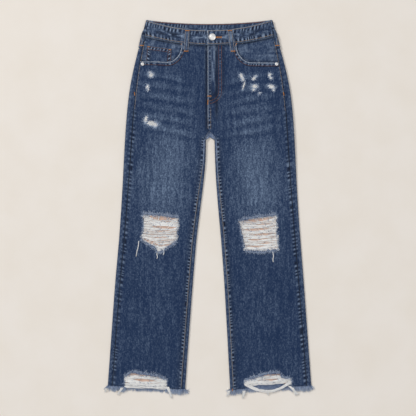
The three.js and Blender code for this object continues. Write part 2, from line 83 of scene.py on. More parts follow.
def low_side(node, axis):
    """Where a CAD solid begins along X, 0, or along Y, 1."""
    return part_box(node)[0][axis] / MM


def vertices_of(node):
    return np.array([v.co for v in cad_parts[node].data.vertices]) / MM


# ------------------------------------------------------------------ the outline, from the frame
def solid_edges(*nodes):
    """Both ends of every edge of these CAD solids."""
    ends = []
    for name in nodes:
        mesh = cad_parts[name].data
        pairs = np.empty(len(mesh.edges) * 2, int)
        mesh.edges.foreach_get("vertices", pairs)
        ends.append(vertices_of(name)[pairs.reshape(-1, 2)])
    return np.concatenate(ends)


def slice_points(ends, axis, level):
    """Where the plane at that level cuts the edges."""
    a, b = ends[:, 0], ends[:, 1]
    crossing = (a[:, axis] - level) * (b[:, axis] - level) < 0
    a, b = a[crossing], b[crossing]
    t = (level - a[:, axis]) / (b[:, axis] - a[:, axis])
    return a + t[:, None] * (b - a)


def smooth_curve(at, values, spread):
    """A function through these values, rounded over the spread, that goes on straight past its ends."""
    step = at[1] - at[0]
    reach = int(3 * spread / step) + 1
    before = values[0] + (values[1] - values[0]) * np.arange(-reach, 0)
    after = values[-1] + (values[-1] - values[-2]) * np.arange(1, reach + 1)
    long = np.concatenate([before, values, after])
    kernel = np.exp(-0.5 * (np.arange(-reach, reach + 1) * step / spread) ** 2)
    rounded = np.convolve(long, kernel / kernel.sum(), "valid")
    slopes = (rounded[1] - rounded[0]) / step, (rounded[-1] - rounded[-2]) / step

    def curve(v):
        inside = np.interp(v, at, rounded)
        return inside + slopes[0] * np.minimum(v - at[0], 0) + slopes[1] * np.maximum(v - at[-1], 0)

    return curve


CROTCH_Y, FRONT_CROTCH_Y = 181, 208
LEG_LEVELS = np.arange(-470, 172, 10.0)
ALL_LEVELS = np.arange(-470, 452, 10.0)
BAND_XS = np.arange(-150, 151, 12.0)
HEM_OUTER_Y, HEM_INNER_Y, HEM_EVEN_Y = -475, -485, -380  # rows are level above the last
OUTLINE_SPREAD, HEIGHT_SPREAD = 18, 15


class Leg:
    """The folds and seams of one leg, each as x at a height y, and the surfaces it lies between."""

    def __init__(self, side):
        self.side, self.out = side, OUT[side]
        back = solid_edges(f"back_panel_{side}", f"back_yoke_{side}")
        outer, outseam, inner, inseam, floor, top = [], [], [], [], [], []
        for y in ALL_LEVELS:
            cut = slice_points(back, 1, y)
            x, z = cut[:, 0] * self.out, cut[:, 2]
            middle = (x.min() + x.max()) / 2
            upper = z > (z.min() + z.max()) / 2 + 1
            outer.append(x.max())
            outseam.append(x[upper & (x > middle)].min())
            floor.append(z.min())
            top.append(z.max())
            if y <= LEG_LEVELS[-1]:
                inner.append(x.min())
                inseam.append(x[upper & (x < middle)].max())
        self.outer_fold = self.curve(ALL_LEVELS, outer)
        self.outseam = self.curve(ALL_LEVELS, outseam)
        self.inner_fold = self.curve(LEG_LEVELS, inner)
        self.inseam = self.curve(LEG_LEVELS, inseam)
        self.floor = smooth_curve(ALL_LEVELS, np.array(floor), HEIGHT_SPREAD)
        self.top = smooth_curve(ALL_LEVELS, np.array(top), HEIGHT_SPREAD)

    def curve(self, levels, values):
        return smooth_curve(levels, self.out * np.array(values), OUTLINE_SPREAD)


def band_edges(*nodes):
    """Heights of the waistband's seam and of its top, each a parabola of x."""
    edges = solid_edges(*nodes)
    cuts = [slice_points(edges, 0, x)[:, 1] for x in BAND_XS]
    seam, top = [cut.min() for cut in cuts], [cut.max() for cut in cuts]
    return (np.polynomial.Polynomial.fit(BAND_XS, heights, 2) for heights in (seam, top))


LEGS = {side: Leg(side) for side in OUT}
FLOOR_AT, TOP_AT = LEGS["left"].floor, LEGS["left"].top
front_seam, front_top = band_edges("waistband_front_right", "waistband_front_left")
back_seam, back_top = band_edges("waistband_back")
CENTRE_FRONT_X = low_side("front_panel_left", 0)
CENTRE_BACK_X = low_side("back_yoke_left", 0)


def outline(node):
    """The corners of a flat CAD plate, in order round its middle."""
    plan = np.unique(vertices_of(node)[:, :2].round(2), axis=0)
    spoke = plan - plan.mean(0)
    return plan[np.argsort(np.arctan2(spoke[:, 1], spoke[:, 0]))]


KNEE_HOLES = {side: outline(f"knee_threads_{side}") for side in OUT}
HEM_RIPS = {side: outline(f"hem_threads_{side}") for side in OUT}


def outline_sides(polygon):
    return zip(polygon, np.roll(polygon, -1, 0))


def rip_distance(x, y, polygon):
    """Distance to the outline, negative inside it."""
    nearest = np.full(x.shape, 1e9)
    inside = np.zeros(x.shape, bool)
    for (x0, y0), (x1, y1) in outline_sides(polygon):
        length2 = (x1 - x0) ** 2 + (y1 - y0) ** 2
        t = share(((x - x0) * (x1 - x0) + (y - y0) * (y1 - y0)) / length2)
        nearest = np.minimum(nearest, np.hypot(x - lerp(x0, x1, t), y - lerp(y0, y1, t)))
        spans = (y0 > y) != (y1 > y)
        if y0 != y1:
            inside ^= spans & (x < x0 + (y - y0) * (x1 - x0) / (y1 - y0))
    return np.where(inside, -nearest, nearest)


RIP_WAIST_Y = -466  # a hem rip's upper edge lies above this


def notch_top(side, x):
    """Upper edge of the hem rip at x, far below the hem beside it."""
    points = HEM_RIPS[side]
    upper = points[points[:, 1] > RIP_WAIST_Y]
    upper = upper[np.argsort(upper[:, 0])]
    inside = (x > upper[0, 0]) & (x < upper[-1, 0])
    return np.where(inside, np.interp(x, upper[:, 0], upper[:, 1]), -1000)


# ------------------------------------------------------------------ cloth form
def noise(x, y, size, seed, stretch=1.0):
    """Smooth value noise from -1 to 1, its lumps that many millimetres across."""
    lattice = np.random.default_rng(seed).uniform(-1, 1, (128, 128))
    u, v = np.asarray(x) / size + 64, np.asarray(y) / (size * stretch) + 64
    i, j = np.floor(u).astype(int), np.floor(v).astype(int)
    f, g = u - i, v - j
    f, g = f * f * (3 - 2 * f), g * g * (3 - 2 * g)

    def at(a, b):
        return lattice[a % 128, b % 128]

    return lerp(lerp(at(i, j), at(i + 1, j), f), lerp(at(i, j + 1), at(i + 1, j + 1), f), g)


ROPE_PITCH, DOT_PITCH, BAND_PITCH = 12.0, 9.2, 9.8  # along the outseams, stitched edges, waistband


def phase_along(s, seed, pitch):
    """Turns of the pucker pattern up to the length s along a seam."""
    return s / pitch + 0.8 * noise(s, 0, 31, seed) + 0.35 * noise(s, 0, 12, seed + 1)


def pucker(s, seed, pitch=ROPE_PITCH):
    """The rope pattern of a washed seam along its length s, from -1 to 1."""
    return np.sin(2 * np.pi * phase_along(s, seed, pitch))


class Marks:
    """What a seam, crease or rip adds at each point.

    height is in mm; rub is pale from wear; the dark mark is unfaded dye in folds and seams, and painted
    shade under overlapping cloth and along some edges; bare is white weft; dots says how near a roped seam
    is, and phase where along its puckers.
    """

    def __init__(self, shape):
        self.height = self.rub = self.ink = self.bare = self.dots = self.phase = np.zeros(shape)

    def add(self, height=0, rub=0, ink=0, bare=0):
        self.height = self.height + height
        self.rub = np.maximum(self.rub, rub)
        self.ink = np.maximum(self.ink, ink)
        self.bare = np.maximum(self.bare, bare)

    def roped(self, near, s, seed, height=0.5, pitch=ROPE_PITCH):
        """Puckers where near is 1: rubbed light on their tops and left dark between them."""
        phase = phase_along(s, seed, pitch)
        near = near * share(0.8 + 0.5 * noise(s, 0, 2.3 * pitch, seed + 9))
        self.height = self.height + height * near * np.sin(2 * np.pi * phase)
        self.phase = np.where(near > self.dots, phase, self.phase)
        self.dots = np.maximum(self.dots, near)

    def only_where(self, here):
        for key in ("height", "rub", "ink", "bare", "dots"):
            setattr(self, key, getattr(self, key) * here)

    def masks(self, faded):
        """The attributes that the denim reads."""
        clear = {key: share(getattr(self, key)) for key in ("rub", "ink", "bare", "dots")}
        return {"fade": np.broadcast_to(faded, self.rub.shape), "phase": self.phase, **clear}


def busted_seam(marks, d, s, seed, strength=1.0):
    """Two cloths pressed apart: a groove between two roped ridges. d is the distance across."""
    ridges = bell(d - 4.2, 3.4) + 0.6 * bell(d + 4.2, 2.6)
    marks.roped(0.62 * strength * ridges, s + 0.3 * d, seed, 0.6)
    groove = strength * bell(d, 1.4)
    marks.add(height=0.35 * strength * ridges - 0.9 * groove, ink=0.85 * groove)


def felled_seam(marks, d, s, seed, width=7.0, strength=1.0):
    """A lapped seam: raised from its edge, at d 0, to its second stitching, at the width."""
    raised = smooth(-0.6, 0.9, d) * smooth(width + 3, width + 0.5, d)
    marks.roped(0.85 * strength * bell(d - width * 0.68, 3.0), s - 0.2 * d, seed, 0.4, DOT_PITCH)
    marks.add(
        height=strength * (0.9 * raised - 0.5 * bell(d + 1.2, 1.2)),
        rub=strength * 0.7 * bell(d - 0.4, 1.1),
        ink=strength * 0.9 * bell(d + 1.6, 1.7),
    )


WHISKERS = [(352, 7), (327, 8), (300, 8), (272, 9), (243, 9), (216, 9)]  # height at the side, half width


def whiskers(x, y):
    """Fade lines across the hips, from the crotch out and up to the sides; -1 to 1."""
    out = np.abs(x)
    total = np.zeros(np.shape(x))
    for i, (side_y, width) in enumerate(WHISKERS):
        line_y = side_y - 34 * (1 - share(out / 190)) ** 1.3 + 5 * noise(x, 0, 60, 40 + i)
        d = y - line_y
        span = smooth(22, 70, out) * smooth(215, 150, out) * (0.7 + 0.3 * noise(x, y, 50, 60 + i))
        total += span * (bell(d, width) - 0.75 * bell(d + width * 1.45, width * 0.75))
    return total


# Small worn spots on the front: centre x, y and half sizes, and the lean of their long side.
SPOTS = {
    "right": [
        (-153, 350, 8, 6, 0.2), (-156, 357, 5, 3, 0.0), (-163, 319, 5, 5.5, 0.3), (-161, 312, 3, 4, 0.0),
        (-152, 222, 18, 6.5, -0.3), (-167, 233, 6, 9, 0.2), (-142, 218, 7, 6, 0.0),
    ],
    "left": [
        (86, 347, 6, 8, -0.3), (90, 338, 5, 4, 0.0), (92, 322, 3, 11, 0.3), (119, 341, 6, 5, 0.4),
        (124, 347, 3, 3, 0.0), (121, 320, 10, 5.5, 0.0), (118, 311, 5, 4, 0.2), (161, 350, 6, 5, 0.3),
        (164, 342, 5, 3, 0.1), (165, 319, 10, 5.5, -0.4), (171, 311, 4, 4, 0.0), (134, 302, 4, 2.5, 0.5),
    ],
}


def spot_marks(marks, side, x, y):
    for i, (cx, cy, half_x, half_y, lean) in enumerate(SPOTS[side]):
        dx = x - cx - lean * (y - cy)
        edge = 1 + 0.5 * noise(x, y, 4.5, 80 + i)
        size = np.hypot(dx / half_x, (y - cy) / half_y) / edge
        marks.add(
            bare=smooth(0.95, 0.1, size),
            rub=0.8 * smooth(1.7, 0.7, size) * share(0.5 + 0.7 * noise(x, y, 2.5, 70 + i, 2)),
            height=-0.35 * smooth(1.1, 0.6, size),
        )


def rip_marks(marks, side, x, y):
    """Frayed, pale cloth round a rip, with the bare threads' roots."""
    for i, polygon in enumerate((KNEE_HOLES[side], HEM_RIPS[side])):
        d = rip_distance(x, y, polygon) + 1.6 * noise(x, y, 5, 30 + i) + 1.2 * noise(x, y, 2.5, 33 + i)
        marks.add(
            rub=smooth(7, 1.5, d) * 0.75 * share(0.5 + 0.8 * noise(x, y, 3, 37 + i, 1.6)),
            bare=smooth(2.0, -1.0, d) * 0.7,
            height=1.1 * bell(d, 7) * (0.6 + 0.4 * noise(x, y, 9, 35 + i)),
        )


def fade(side, x, y):
    """How far the dye is washed out of the front: most down the middle of the thigh."""
    leg = LEGS[side]
    low = np.minimum(y, CROTCH_Y)
    middle = (leg.outseam(y) + leg.inseam(low)) / 2 + leg.out * 4
    half = np.abs(leg.outseam(y) - leg.inseam(low)) / 2
    across = (x - middle) / half
    thigh = 0.88 * bell(across, 0.72) * smooth(262, 120, y) * smooth(-75, 55, y)
    shin = 0.10 * bell(across, 0.8) * smooth(-40, -150, y) * (1 - smooth(-260, -420, y) * 0.7)
    knee = 0.30 * bell(across, 0.85) * bell(y + 60, 70)
    hip = 0.25 * bell(across, 0.75) * bell(y - 260, 95)
    high = 0.10 * smooth(300, 380, y)
    cloudy = 0.10 * noise(x, y, 42, 11, 1.6) + 0.10 * noise(x, y, 13, 12, 1.4)
    return share(0.12 + thigh + shin + knee + hip + high + cloudy + 0.5 * whiskers(x, y))


FOLD_REACH = 7.0  # the cloth rounds down to a fold over this much of its width
SIDE_TACK_Y = (243, 262)  # the outseam is flatter above


def front_marks(side, x, y):
    """Everything that the front of one side shows at these points."""
    leg = LEGS[side]
    marks = Marks(np.shape(x))
    soft = 0.9 * noise(x, y, 85, 1) + 0.55 * noise(x, y, 34, 2, 1.8) + 0.16 * noise(x, y, 11, 3, 1.5)
    marks.add(height=soft * smooth(445, 400, y) + 0.55 * whiskers(x, y))
    out_d = (leg.outseam(y) - x) * leg.out
    busted_seam(marks, out_d, y, 100 + leg.out, 1 - 0.65 * smooth(*SIDE_TACK_Y, y))
    below_crotch = smooth(CROTCH_Y + 14, CROTCH_Y - 12, y)
    in_d = (x - leg.inseam(np.minimum(y, CROTCH_Y))) * leg.out
    felled_seam(marks, in_d, y, 110 + leg.out, strength=below_crotch)
    marks.add(ink=0.3 * below_crotch * bell(in_d - 7, 8))
    spot_marks(marks, side, x, y)
    rip_marks(marks, side, x, y)
    hem_d = y - hem_y(leg, x)
    # Near the hem: a wavy lift, a painted shadow line just above the frayed edge, and the edge itself rubbed
    # pale.
    marks.add(
        height=0.5 * bell(hem_d, 9) * noise(x, y, 8, 5),
        ink=0.7 * bell(hem_d - 2.5, 1.6),
        rub=0.7 * smooth(1.4, 0.2, hem_d),
    )
    if side == "left":
        fly_marks(marks, x, y)
        felled_seam(marks, x - CENTRE_FRONT_X, y, 120, 8.0, smooth(252, 236, y) * smooth(200, 214, y))
    else:
        # The right front dips where it runs under the fly, and is painted dark there as shade.
        above_seat = smooth(CROTCH_Y + 14, CROTCH_Y + 34, y)
        marks.add(
            height=-1.6 * smooth(-16, -5, x) * smooth(255, 285, y),
            ink=0.8 * smooth(-13, -7, x) * above_seat,
        )
    # Below the waistband the cloth dips under the band's edge and is painted dark there as shade; a paler
    # worn line lies lower down.
    under_band = front_seam(x) - y
    marks.add(
        height=-1.2 * smooth(8, 0.5, under_band),
        ink=0.75 * smooth(9, 1, under_band) * (0.7 + 0.3 * noise(x, y, 6, 131)),
        rub=0.5 * bell(under_band - 11, 5) * share(noise(x, y, 4.5, 132, 3)),
    )
    return marks


FLY_X = 33.0  # the J-stitch's outer line
FLY_TURN_Y, FLY_DROP = 306.0, 32.0  # where it turns in, and how far it goes down from there
FLY_ROWS_GAP = 7.0


def fly_marks(marks, x, y):
    """The left front's lapped fly: a thick edge, rubbed streaks and the ridge of the J-stitch."""
    over = smooth(218, 262, y)
    edge = x - CENTRE_FRONT_X
    streaks = noise(x, y, 3.2, 141, 9)
    pale = 0.8 * bell(edge - 15, 5) * smooth(300, 325, y)
    foot = 0.7 * bell(edge - 12, 11) * bell(y - 294, 20) * share(0.5 + noise(x, y, 6, 142, 2))
    marks.roped(0.6 * over * bell(edge - 6.5, 2.2), y, 140, 0.4, DOT_PITCH)
    marks.add(
        height=over * 1.5 * smooth(42, 30, edge) * smooth(-0.5, 2.5, edge),
        rub=over * (0.95 * bell(edge - 0.6, 1.8) + pale * share(0.25 + 1.3 * streaks)),
        ink=over * (0.85 * bell(edge - 24, 4.5) + 0.75 * bell(edge - 8, 3.5) * share(0.7 - streaks) + foot),
        bare=over * 0.45 * bell(edge - 0.5, 1.3) * smooth(262, 300, y),
    )
    turn = share((FLY_TURN_Y - y) / FLY_DROP)
    j = x - CENTRE_FRONT_X - (FLY_X - CENTRE_FRONT_X) * np.sqrt(np.clip(1 - turn**2, 0.02, 1))
    ridge = j + FLY_ROWS_GAP / 2
    marks.roped(0.42 * over * bell(ridge, 2.6), y, 143, 0.4, DOT_PITCH)
    marks.add(
        ink=over * 0.45 * bell(j - 4.5, 4) * smooth(270, 330, y),
        height=over * 0.4 * bell(ridge, 4),
    )


def hem_y(leg, x):
    inner, outer = leg.inner_fold(HEM_INNER_Y), leg.outer_fold(HEM_OUTER_Y)
    return lerp(HEM_INNER_Y, HEM_OUTER_Y, share((x - inner) / (outer - inner)))


def shifted_rows(leg, x, y):
    """Rows near the hem follow its slope."""
    middle = (HEM_INNER_Y + HEM_OUTER_Y) / 2
    near = share((HEM_EVEN_Y - y) / (HEM_EVEN_Y - middle))
    return y + (hem_y(leg, x) - middle) * near


def rounded_front(leg, x, y):
    """Height of the front's plain form: flat, and rounding down to both folds."""
    floor, top = FLOOR_AT(y), TOP_AT(y)
    middle = (floor + top) / 2
    outer_d = (leg.outer_fold(y) - x) * leg.out
    inner_d = np.where(y < CROTCH_Y, (x - leg.inner_fold(np.minimum(y, CROTCH_Y))) * leg.out, 1e3)
    d = share(np.minimum(outer_d, inner_d) / FOLD_REACH)
    return middle + (top - middle) * np.sqrt(share(1 - (1 - d) ** 2))


def front_z(side, x, y):
    """Height of the finished front surface."""
    x, y = np.broadcast_arrays(np.asarray(x, float), np.asarray(y, float))
    return rounded_front(LEGS[side], x, y) + front_marks(side, x, y).height


# ------------------------------------------------------------------ meshes
def normals_of(points):
    across = np.gradient(points, axis=1)
    along = np.gradient(points, axis=0)
    normal = np.cross(across, along)
    return normal / np.maximum(np.linalg.norm(normal, axis=2, keepdims=True), 1e-9)


def add_object(name, vertices, faces, material, replaces=(), attributes=None):
    mesh = bpy.data.meshes.new(name)
    mesh.vertices.add(len(vertices))
    mesh.vertices.foreach_set("co", (np.asarray(vertices) * MM).ravel())
    corners = faces.shape[1]
    mesh.loops.add(faces.size)
    mesh.loops.foreach_set("vertex_index", faces.ravel().astype(np.int32))
    mesh.polygons.add(len(faces))
    mesh.polygons.foreach_set("loop_start", np.arange(0, faces.size, corners, dtype=np.int32))
    mesh.polygons.foreach_set("use_smooth", np.full(len(faces), True))
    for key, values in (attributes or {}).items():
        layer = mesh.attributes.new(key, "FLOAT", "POINT")
        layer.data.foreach_set("value", np.asarray(values, np.float32).ravel())
    mesh.update(calc_edges=True)
    mesh.validate()
    obj = bpy.data.objects.new(name, mesh)
    bpy.context.scene.collection.objects.link(obj)
    mesh.materials.append(material)
    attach(obj, "root")
    if replaces:
        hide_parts(*([replaces] if isinstance(replaces, str) else replaces))
    return obj


LOWEST_INSIDE = 0.3  # no cloth goes under the surface it lies on


def looking(points, looks, out):
    """Unit normals of a grid of cloth that looks up, 1, or down, -1, or else along X, the way out says."""
    normals = normals_of(points)
    return normals, np.sign((normals[..., 0] * out if out else normals[..., 2] * looks).mean())


def cloth(name, points, wall, masks, material, slot, node=(), keep=None, looks=1, lined=False, out=0):
    """A shell through a grid of points on the cloth's outer face, in place of the CAD node.

    keep says which cells remain. A lined cloth is the same on both faces.
    """
    rows, cols = points.shape[:2]
    normals, facing = looking(points, looks, out)
    inner = points - facing * normals * wall
    inner[..., 2] = np.maximum(inner[..., 2], LOWEST_INSIDE)
    index = np.arange(rows * cols).reshape(rows, cols)
    a, b, c, d = index[:-1, :-1], index[:-1, 1:], index[1:, 1:], index[1:, :-1]
    keep = np.ones(a.shape, bool) if keep is None else keep
    padded = np.pad(keep, 1)
    outer_faces = np.stack([a, b, c, d], -1)[keep]
    below = rows * cols
    faces = [outer_faces, outer_faces[:, ::-1] + below]
    for (p, q), (di, dj) in (((a, b), (-1, 0)), ((b, c), (0, 1)), ((c, d), (1, 0)), ((d, a), (0, -1))):
        neighbour = padded[1 + di : rows + di, 1 + dj : cols + dj]
        rim = keep & ~neighbour
        p, q = p[rim], q[rim]
        faces.append(np.stack([q, p, p + below, q + below], -1))
    faces = np.concatenate(faces)
    if facing < 0:
        faces = faces[:, ::-1]
    vertices = np.concatenate([points.reshape(-1, 3), inner.reshape(-1, 3)])
    used, faces = np.unique(faces, return_inverse=True)
    attributes = {key: np.concatenate([np.ravel(v), np.ravel(v)])[used] for key, v in masks.items()}
    attributes["inside"] = np.repeat([0.0, 0.0 if lined else 1.0], below)[used]
    return add_object(name, vertices[used], faces.reshape(-1, 4), material, node, attributes)


def strands(name, paths, radius, tone, material, replaces=(), sides=4):
    """Many threads at once: paths is (threads, points, 3), radius and tone fit its threads and points."""
    count, length = paths.shape[:2]
    radius = np.broadcast_to(radius, (count, length))
    tangent = np.gradient(paths, axis=1)
    tangent /= np.maximum(np.linalg.norm(tangent, axis=2, keepdims=True), 1e-9)
    up = np.where(np.abs(tangent[..., 2:]) > 0.9, [1.0, 0, 0], [0, 0, 1.0])
    side = np.cross(tangent, up)
    side /= np.linalg.norm(side, axis=2, keepdims=True)
    lift = np.cross(side, tangent)
    turn = np.arange(sides) * 2 * np.pi / sides + np.pi / 4
    ring = side[:, :, None] * np.cos(turn)[:, None] + lift[:, :, None] * np.sin(turn)[:, None]
    vertices = paths[:, :, None] + ring * radius[:, :, None, None]
    index = np.arange(count * length * sides).reshape(count, length, sides)
    after = np.roll(index, -1, 2)
    tube = np.stack([index[:, :-1], after[:, :-1], after[:, 1:], index[:, 1:]], -1).reshape(-1, 4)
    half = [0, 1, 2, 3] if sides == 4 else [0, 1, 2, 2]
    caps = np.concatenate([index[:, 0][:, half[::-1]], index[:, -1][:, half]])
    tones = np.repeat(np.broadcast_to(tone, (count, length)).reshape(-1), sides)
    faces = np.concatenate([tube, caps])
    add_object(name, vertices.reshape(-1, 3), faces, material, replaces, {"tone": tones})


# ------------------------------------------------------------------ materials
class Nodes:
    """A material's node tree, with short ways to add and join nodes."""

    def __init__(self, name, shader):
        self.material = bpy.data.materials.new(name)
        self.material.use_nodes = True
        self.tree = self.material.node_tree
        self.shader = self.tree.nodes["Principled BSDF"]
        self.place = self.add("TexCoord").outputs["Object"]
        for key, value in shader.items():
            self.put(self.shader.inputs[key], value)

    def put(self, socket, value):
        if isinstance(value, bpy.types.NodeSocket):
            self.tree.links.new(value, socket)
        elif isinstance(value, tuple) and socket.type == "RGBA":
            socket.default_value = (*value, 1)
        else:
            socket.default_value = value

    def add(self, kind, inputs=(), **settings):
        """A new node of this kind, with a number, a colour or another node's output for each input."""
        node = self.tree.nodes.new("ShaderNode" + kind)
        for key, value in settings.items():
            setattr(node, key, value)
        for key, value in dict(inputs).items():
            self.put(node.inputs[key], value)
        return node

    def math(self, operation, a, b=0.0, clamp=False):
        return self.add("Math", {0: a, 1: b}, operation=operation, use_clamp=clamp).outputs[0]

    def plus(self, a, b, clamp=False):
        return self.math("ADD", a, b, clamp)

    def times(self, a, b, clamp=False):
        return self.math("MULTIPLY", a, b, clamp)

    def attribute(self, name):
        return self.add("Attribute", attribute_name=name).outputs["Fac"]

    def mix(self, factor, a, b):
        return self.add("Mix", {"Factor": factor, 6: a, 7: b}, data_type="RGBA").outputs[2]

    def stretched(self, x, y, turn=0.0):
        """The place on the object, turned about Z, with longer features where x or y is small."""
        inputs = {"Vector": self.place, "Rotation": (0, 0, turn), "Scale": (x, y, 1.0)}
        return self.add("Mapping", inputs).outputs["Vector"]

    def noise(self, vector, scale, detail, rough=0.5):
        inputs = {"Vector": vector, "Scale": scale, "Detail": detail, "Roughness": rough}
        return self.add("TexNoise", inputs).outputs["Fac"]

    def ramp(self, value, low, high):
        """0 where the value is low and 1 where it is high."""
        inputs = {"Value": value, "From Min": low, "From Max": high}
        return self.add("MapRange", inputs).outputs["Result"]

    def wave(self, vector, scale, distortion=0.0):
        inputs = {"Vector": vector, "Scale": scale, "Distortion": distortion}
        return self.add("TexWave", inputs, wave_type="BANDS", bands_direction="X").outputs["Fac"]

    def finish(self, colour, height, distance, strength):
        """Joins the colour and a bump, its height in metres, to the shader."""
        self.put(self.shader.inputs["Base Color"], colour)
        bump = self.add("Bump", {"Height": height, "Distance": distance, "Strength": strength})
        self.put(self.shader.inputs["Normal"], bump.outputs["Normal"])
        return self.material


def srgb(*levels):
    """A colour given in 8-bit sRGB, as linear light."""
    parts = (level / 255 for level in levels)
    return tuple(c / 12.92 if c <= 0.04045 else ((c + 0.055) / 1.055) ** 2.4 for c in parts)


TWILL_PITCH, TWILL_TURN = 0.0011, math.radians(32)
GRAIN = 0.5  # how much the yarns differ in shade
DYE_AND_SHADE_COLOUR, WORN, WEFT = srgb(15, 24, 42), srgb(150, 168, 192), srgb(236, 236, 234)


def denim(name, dark, light):
    """Washed denim: its attributes say where the dye is faded, rubbed off or gone, and where it is dark,
    from unfaded dye and from painted shade.
    """
    n = Nodes(name, {"Roughness": 0.88, "Sheen Weight": 0.1, "Specular IOR Level": 0.2})
    streaks = n.noise(n.stretched(1, 0.3), 380, 3, 0.65)
    slubs = n.noise(n.stretched(1, 0.1), 150, 2)
    speckle = n.noise(n.place, 290, 3, 0.65)
    twill = n.wave(n.stretched(1, 1, TWILL_TURN), 1 / (TWILL_PITCH * 2 * math.pi), 0.6)
    grain = n.plus(n.times(streaks, 0.5), n.times(speckle, 0.5))
    grain = n.plus(grain, n.times(n.math("SUBTRACT", slubs, 0.5), 0.25))
    grain = n.ramp(grain, 0.4, 0.64)
    shade = n.plus(n.times(n.attribute("fade"), 0.34), n.times(grain, GRAIN))
    shade = n.plus(shade, n.times(twill, 0.04))
    shade = n.plus(shade, 0.18 - GRAIN / 2, clamp=True)
    base = n.mix(n.times(shade, shade), dark, light)
    rope = n.math("SINE", n.times(n.attribute("phase"), 2 * math.pi))
    rope = n.times(rope, n.ramp(n.noise(n.place, 70, 1), 0.2, 0.55))
    dots = n.attribute("dots")
    valleys = n.times(dots, n.ramp(rope, -0.05, -0.5))
    crests = n.times(dots, n.ramp(rope, 0.1, 0.7))
    ink = n.times(n.attribute("ink"), n.ramp(speckle, 0.1, 0.5), clamp=True)
    ink = n.math("MAXIMUM", ink, n.times(valleys, 1.5, clamp=True))
    # Darkens towards deep indigo where the dark mask says: unfaded dye in folds, seams and pucker valleys,
    # and painted shade under overlapping cloth and at some edges.
    base = n.mix(n.times(ink, 0.95), base, DYE_AND_SHADE_COLOUR)
    rub = n.times(n.attribute("rub"), n.ramp(grain, -0.6, 0.9), clamp=True)
    rub = n.math("MAXIMUM", rub, n.times(crests, n.ramp(grain, -1.4, 0.9), clamp=True))
    base = n.mix(n.times(rub, 0.9), base, WORN)
    wrong_side = n.mix(grain, srgb(70, 88, 120), srgb(142, 156, 180))
    base = n.mix(n.attribute("inside"), base, wrong_side)
    ragged = n.times(n.math("SUBTRACT", n.noise(n.stretched(0.6, 1), 520, 2), 0.5), 2.6)
    gone = n.attribute("bare")
    bare = n.ramp(n.plus(gone, n.times(ragged, n.ramp(gone, 0, 0.3))), 0.5, 0.8)
    return n.finish(n.mix(bare, base, WEFT), n.plus(n.times(twill, 0.5), grain), 0.00035, 0.7)


def thread_material(name, pale, deep):
    """Cotton thread: tone runs from its deep colour to its pale one."""
    n = Nodes(name, {"Roughness": 0.85, "Specular IOR Level": 0.2})
    pale, deep = srgb(*pale), srgb(*deep)
    fuzz = n.noise(n.place, 900, 2)
    base = n.mix(n.attribute("tone"), deep, pale)
    return n.finish(n.mix(n.times(fuzz, 0.25), base, n.mix(0.5, base, deep)), fuzz, 0.0002, 0.6)


def plain_weave(name, colour, shade):
    n = Nodes(name, {"Roughness": 0.9})
    warp = n.wave(n.stretched(1, 1), 900)
    weft = n.wave(n.stretched(1, 1, math.pi / 2), 900)
    weave = n.times(warp, weft)
    stains = n.ramp(n.noise(n.place, 60, 3), 0.3, 0.75)
    return n.finish(n.mix(n.times(stains, 0.6), colour, shade), weave, 0.0002, 0.6)


def metal(name, roughness, colour, deep):
    n = Nodes(name, {"Roughness": roughness, "Metallic": 0.75})
    scratches = n.noise(n.stretched(1, 0.15), 1500, 2)
    return n.finish(n.mix(n.ramp(scratches, 0.3, 0.8), colour, deep), scratches, 0.00003, 0.25)


DENIM = denim("denim", srgb(24, 46, 80), srgb(146, 168, 196))
DARK_DENIM = denim("denim_dark", srgb(22, 42, 74), srgb(120, 142, 172))
WHITE_THREAD = thread_material("bare_threads", (252, 252, 250), (176, 172, 170))
FRINGE_THREAD = thread_material("frayed_edge", (208, 222, 242), (40, 72, 122))
STITCH_THREADS = {
    "tan": thread_material("stitch_tan", (206, 190, 170), (156, 134, 112)),
    "rust": thread_material("stitch_rust", (160, 104, 68), (104, 64, 46)),
    "orange": thread_material("stitch_orange", (214, 150, 84), (176, 106, 50)),
    "grey": thread_material("stitch_grey", (206, 208, 212), (150, 156, 166)),
}
PATCH = plain_weave("patch_cloth", srgb(222, 192, 174), srgb(194, 158, 140))
NICKEL = metal("nickel", 0.5, (0.84, 0.83, 0.81), (0.66, 0.65, 0.64))
BRASS = metal("zip_brass", 0.4, (0.62, 0.50, 0.30), (0.40, 0.31, 0.18))


def denim_sheet(name, node, points, wall, marks, faded, flat, rests_on, area=None, held="laid", **form):
    """A piece of denim in place of a CAD node. The size it was cut to, in metres, is not used."""
    form.setdefault("slot", "denim")
    obj = cloth(name, points, wall, marks.masks(faded), DENIM, node=node, **form)


# ------------------------------------------------------------------ stitches
STITCHES = {}  # rows of stitch paths and their widths, for each thread
STITCH_LIFT = 0.12  # above the cloth


def keep_stitches(thread, paths, width):
    STITCHES.setdefault(thread, []).append((paths, np.full(len(paths), width)))


def lengths_along(points):
    steps = np.linalg.norm(np.diff(points, axis=0), axis=1)
    return np.concatenate([[0], np.cumsum(steps)])


def stitch(points, thread, pitch=3.7, length=2.7, width=0.42, looks=1):
    """Adds a row of stitches along a curve of points on cloth that looks up, 1, or down, -1."""
    far = lengths_along(points)
    starts = np.arange(0.4, far[-1] - length, pitch)
    at = starts[:, None] + length * np.array([0, 0.2, 0.5, 0.8, 1.0])
    path = np.stack([np.interp(at, far, points[:, i]) for i in range(3)], -1)
    path[..., 2] += looks * np.array([-0.25, 0.22, 0.34, 0.22, -0.25])
    keep_stitches(thread, path, width)


def under_stitch(points):
    """A row on the underside."""
    stitch(points, "tan", 4.2, 3.0, 0.5, -1)


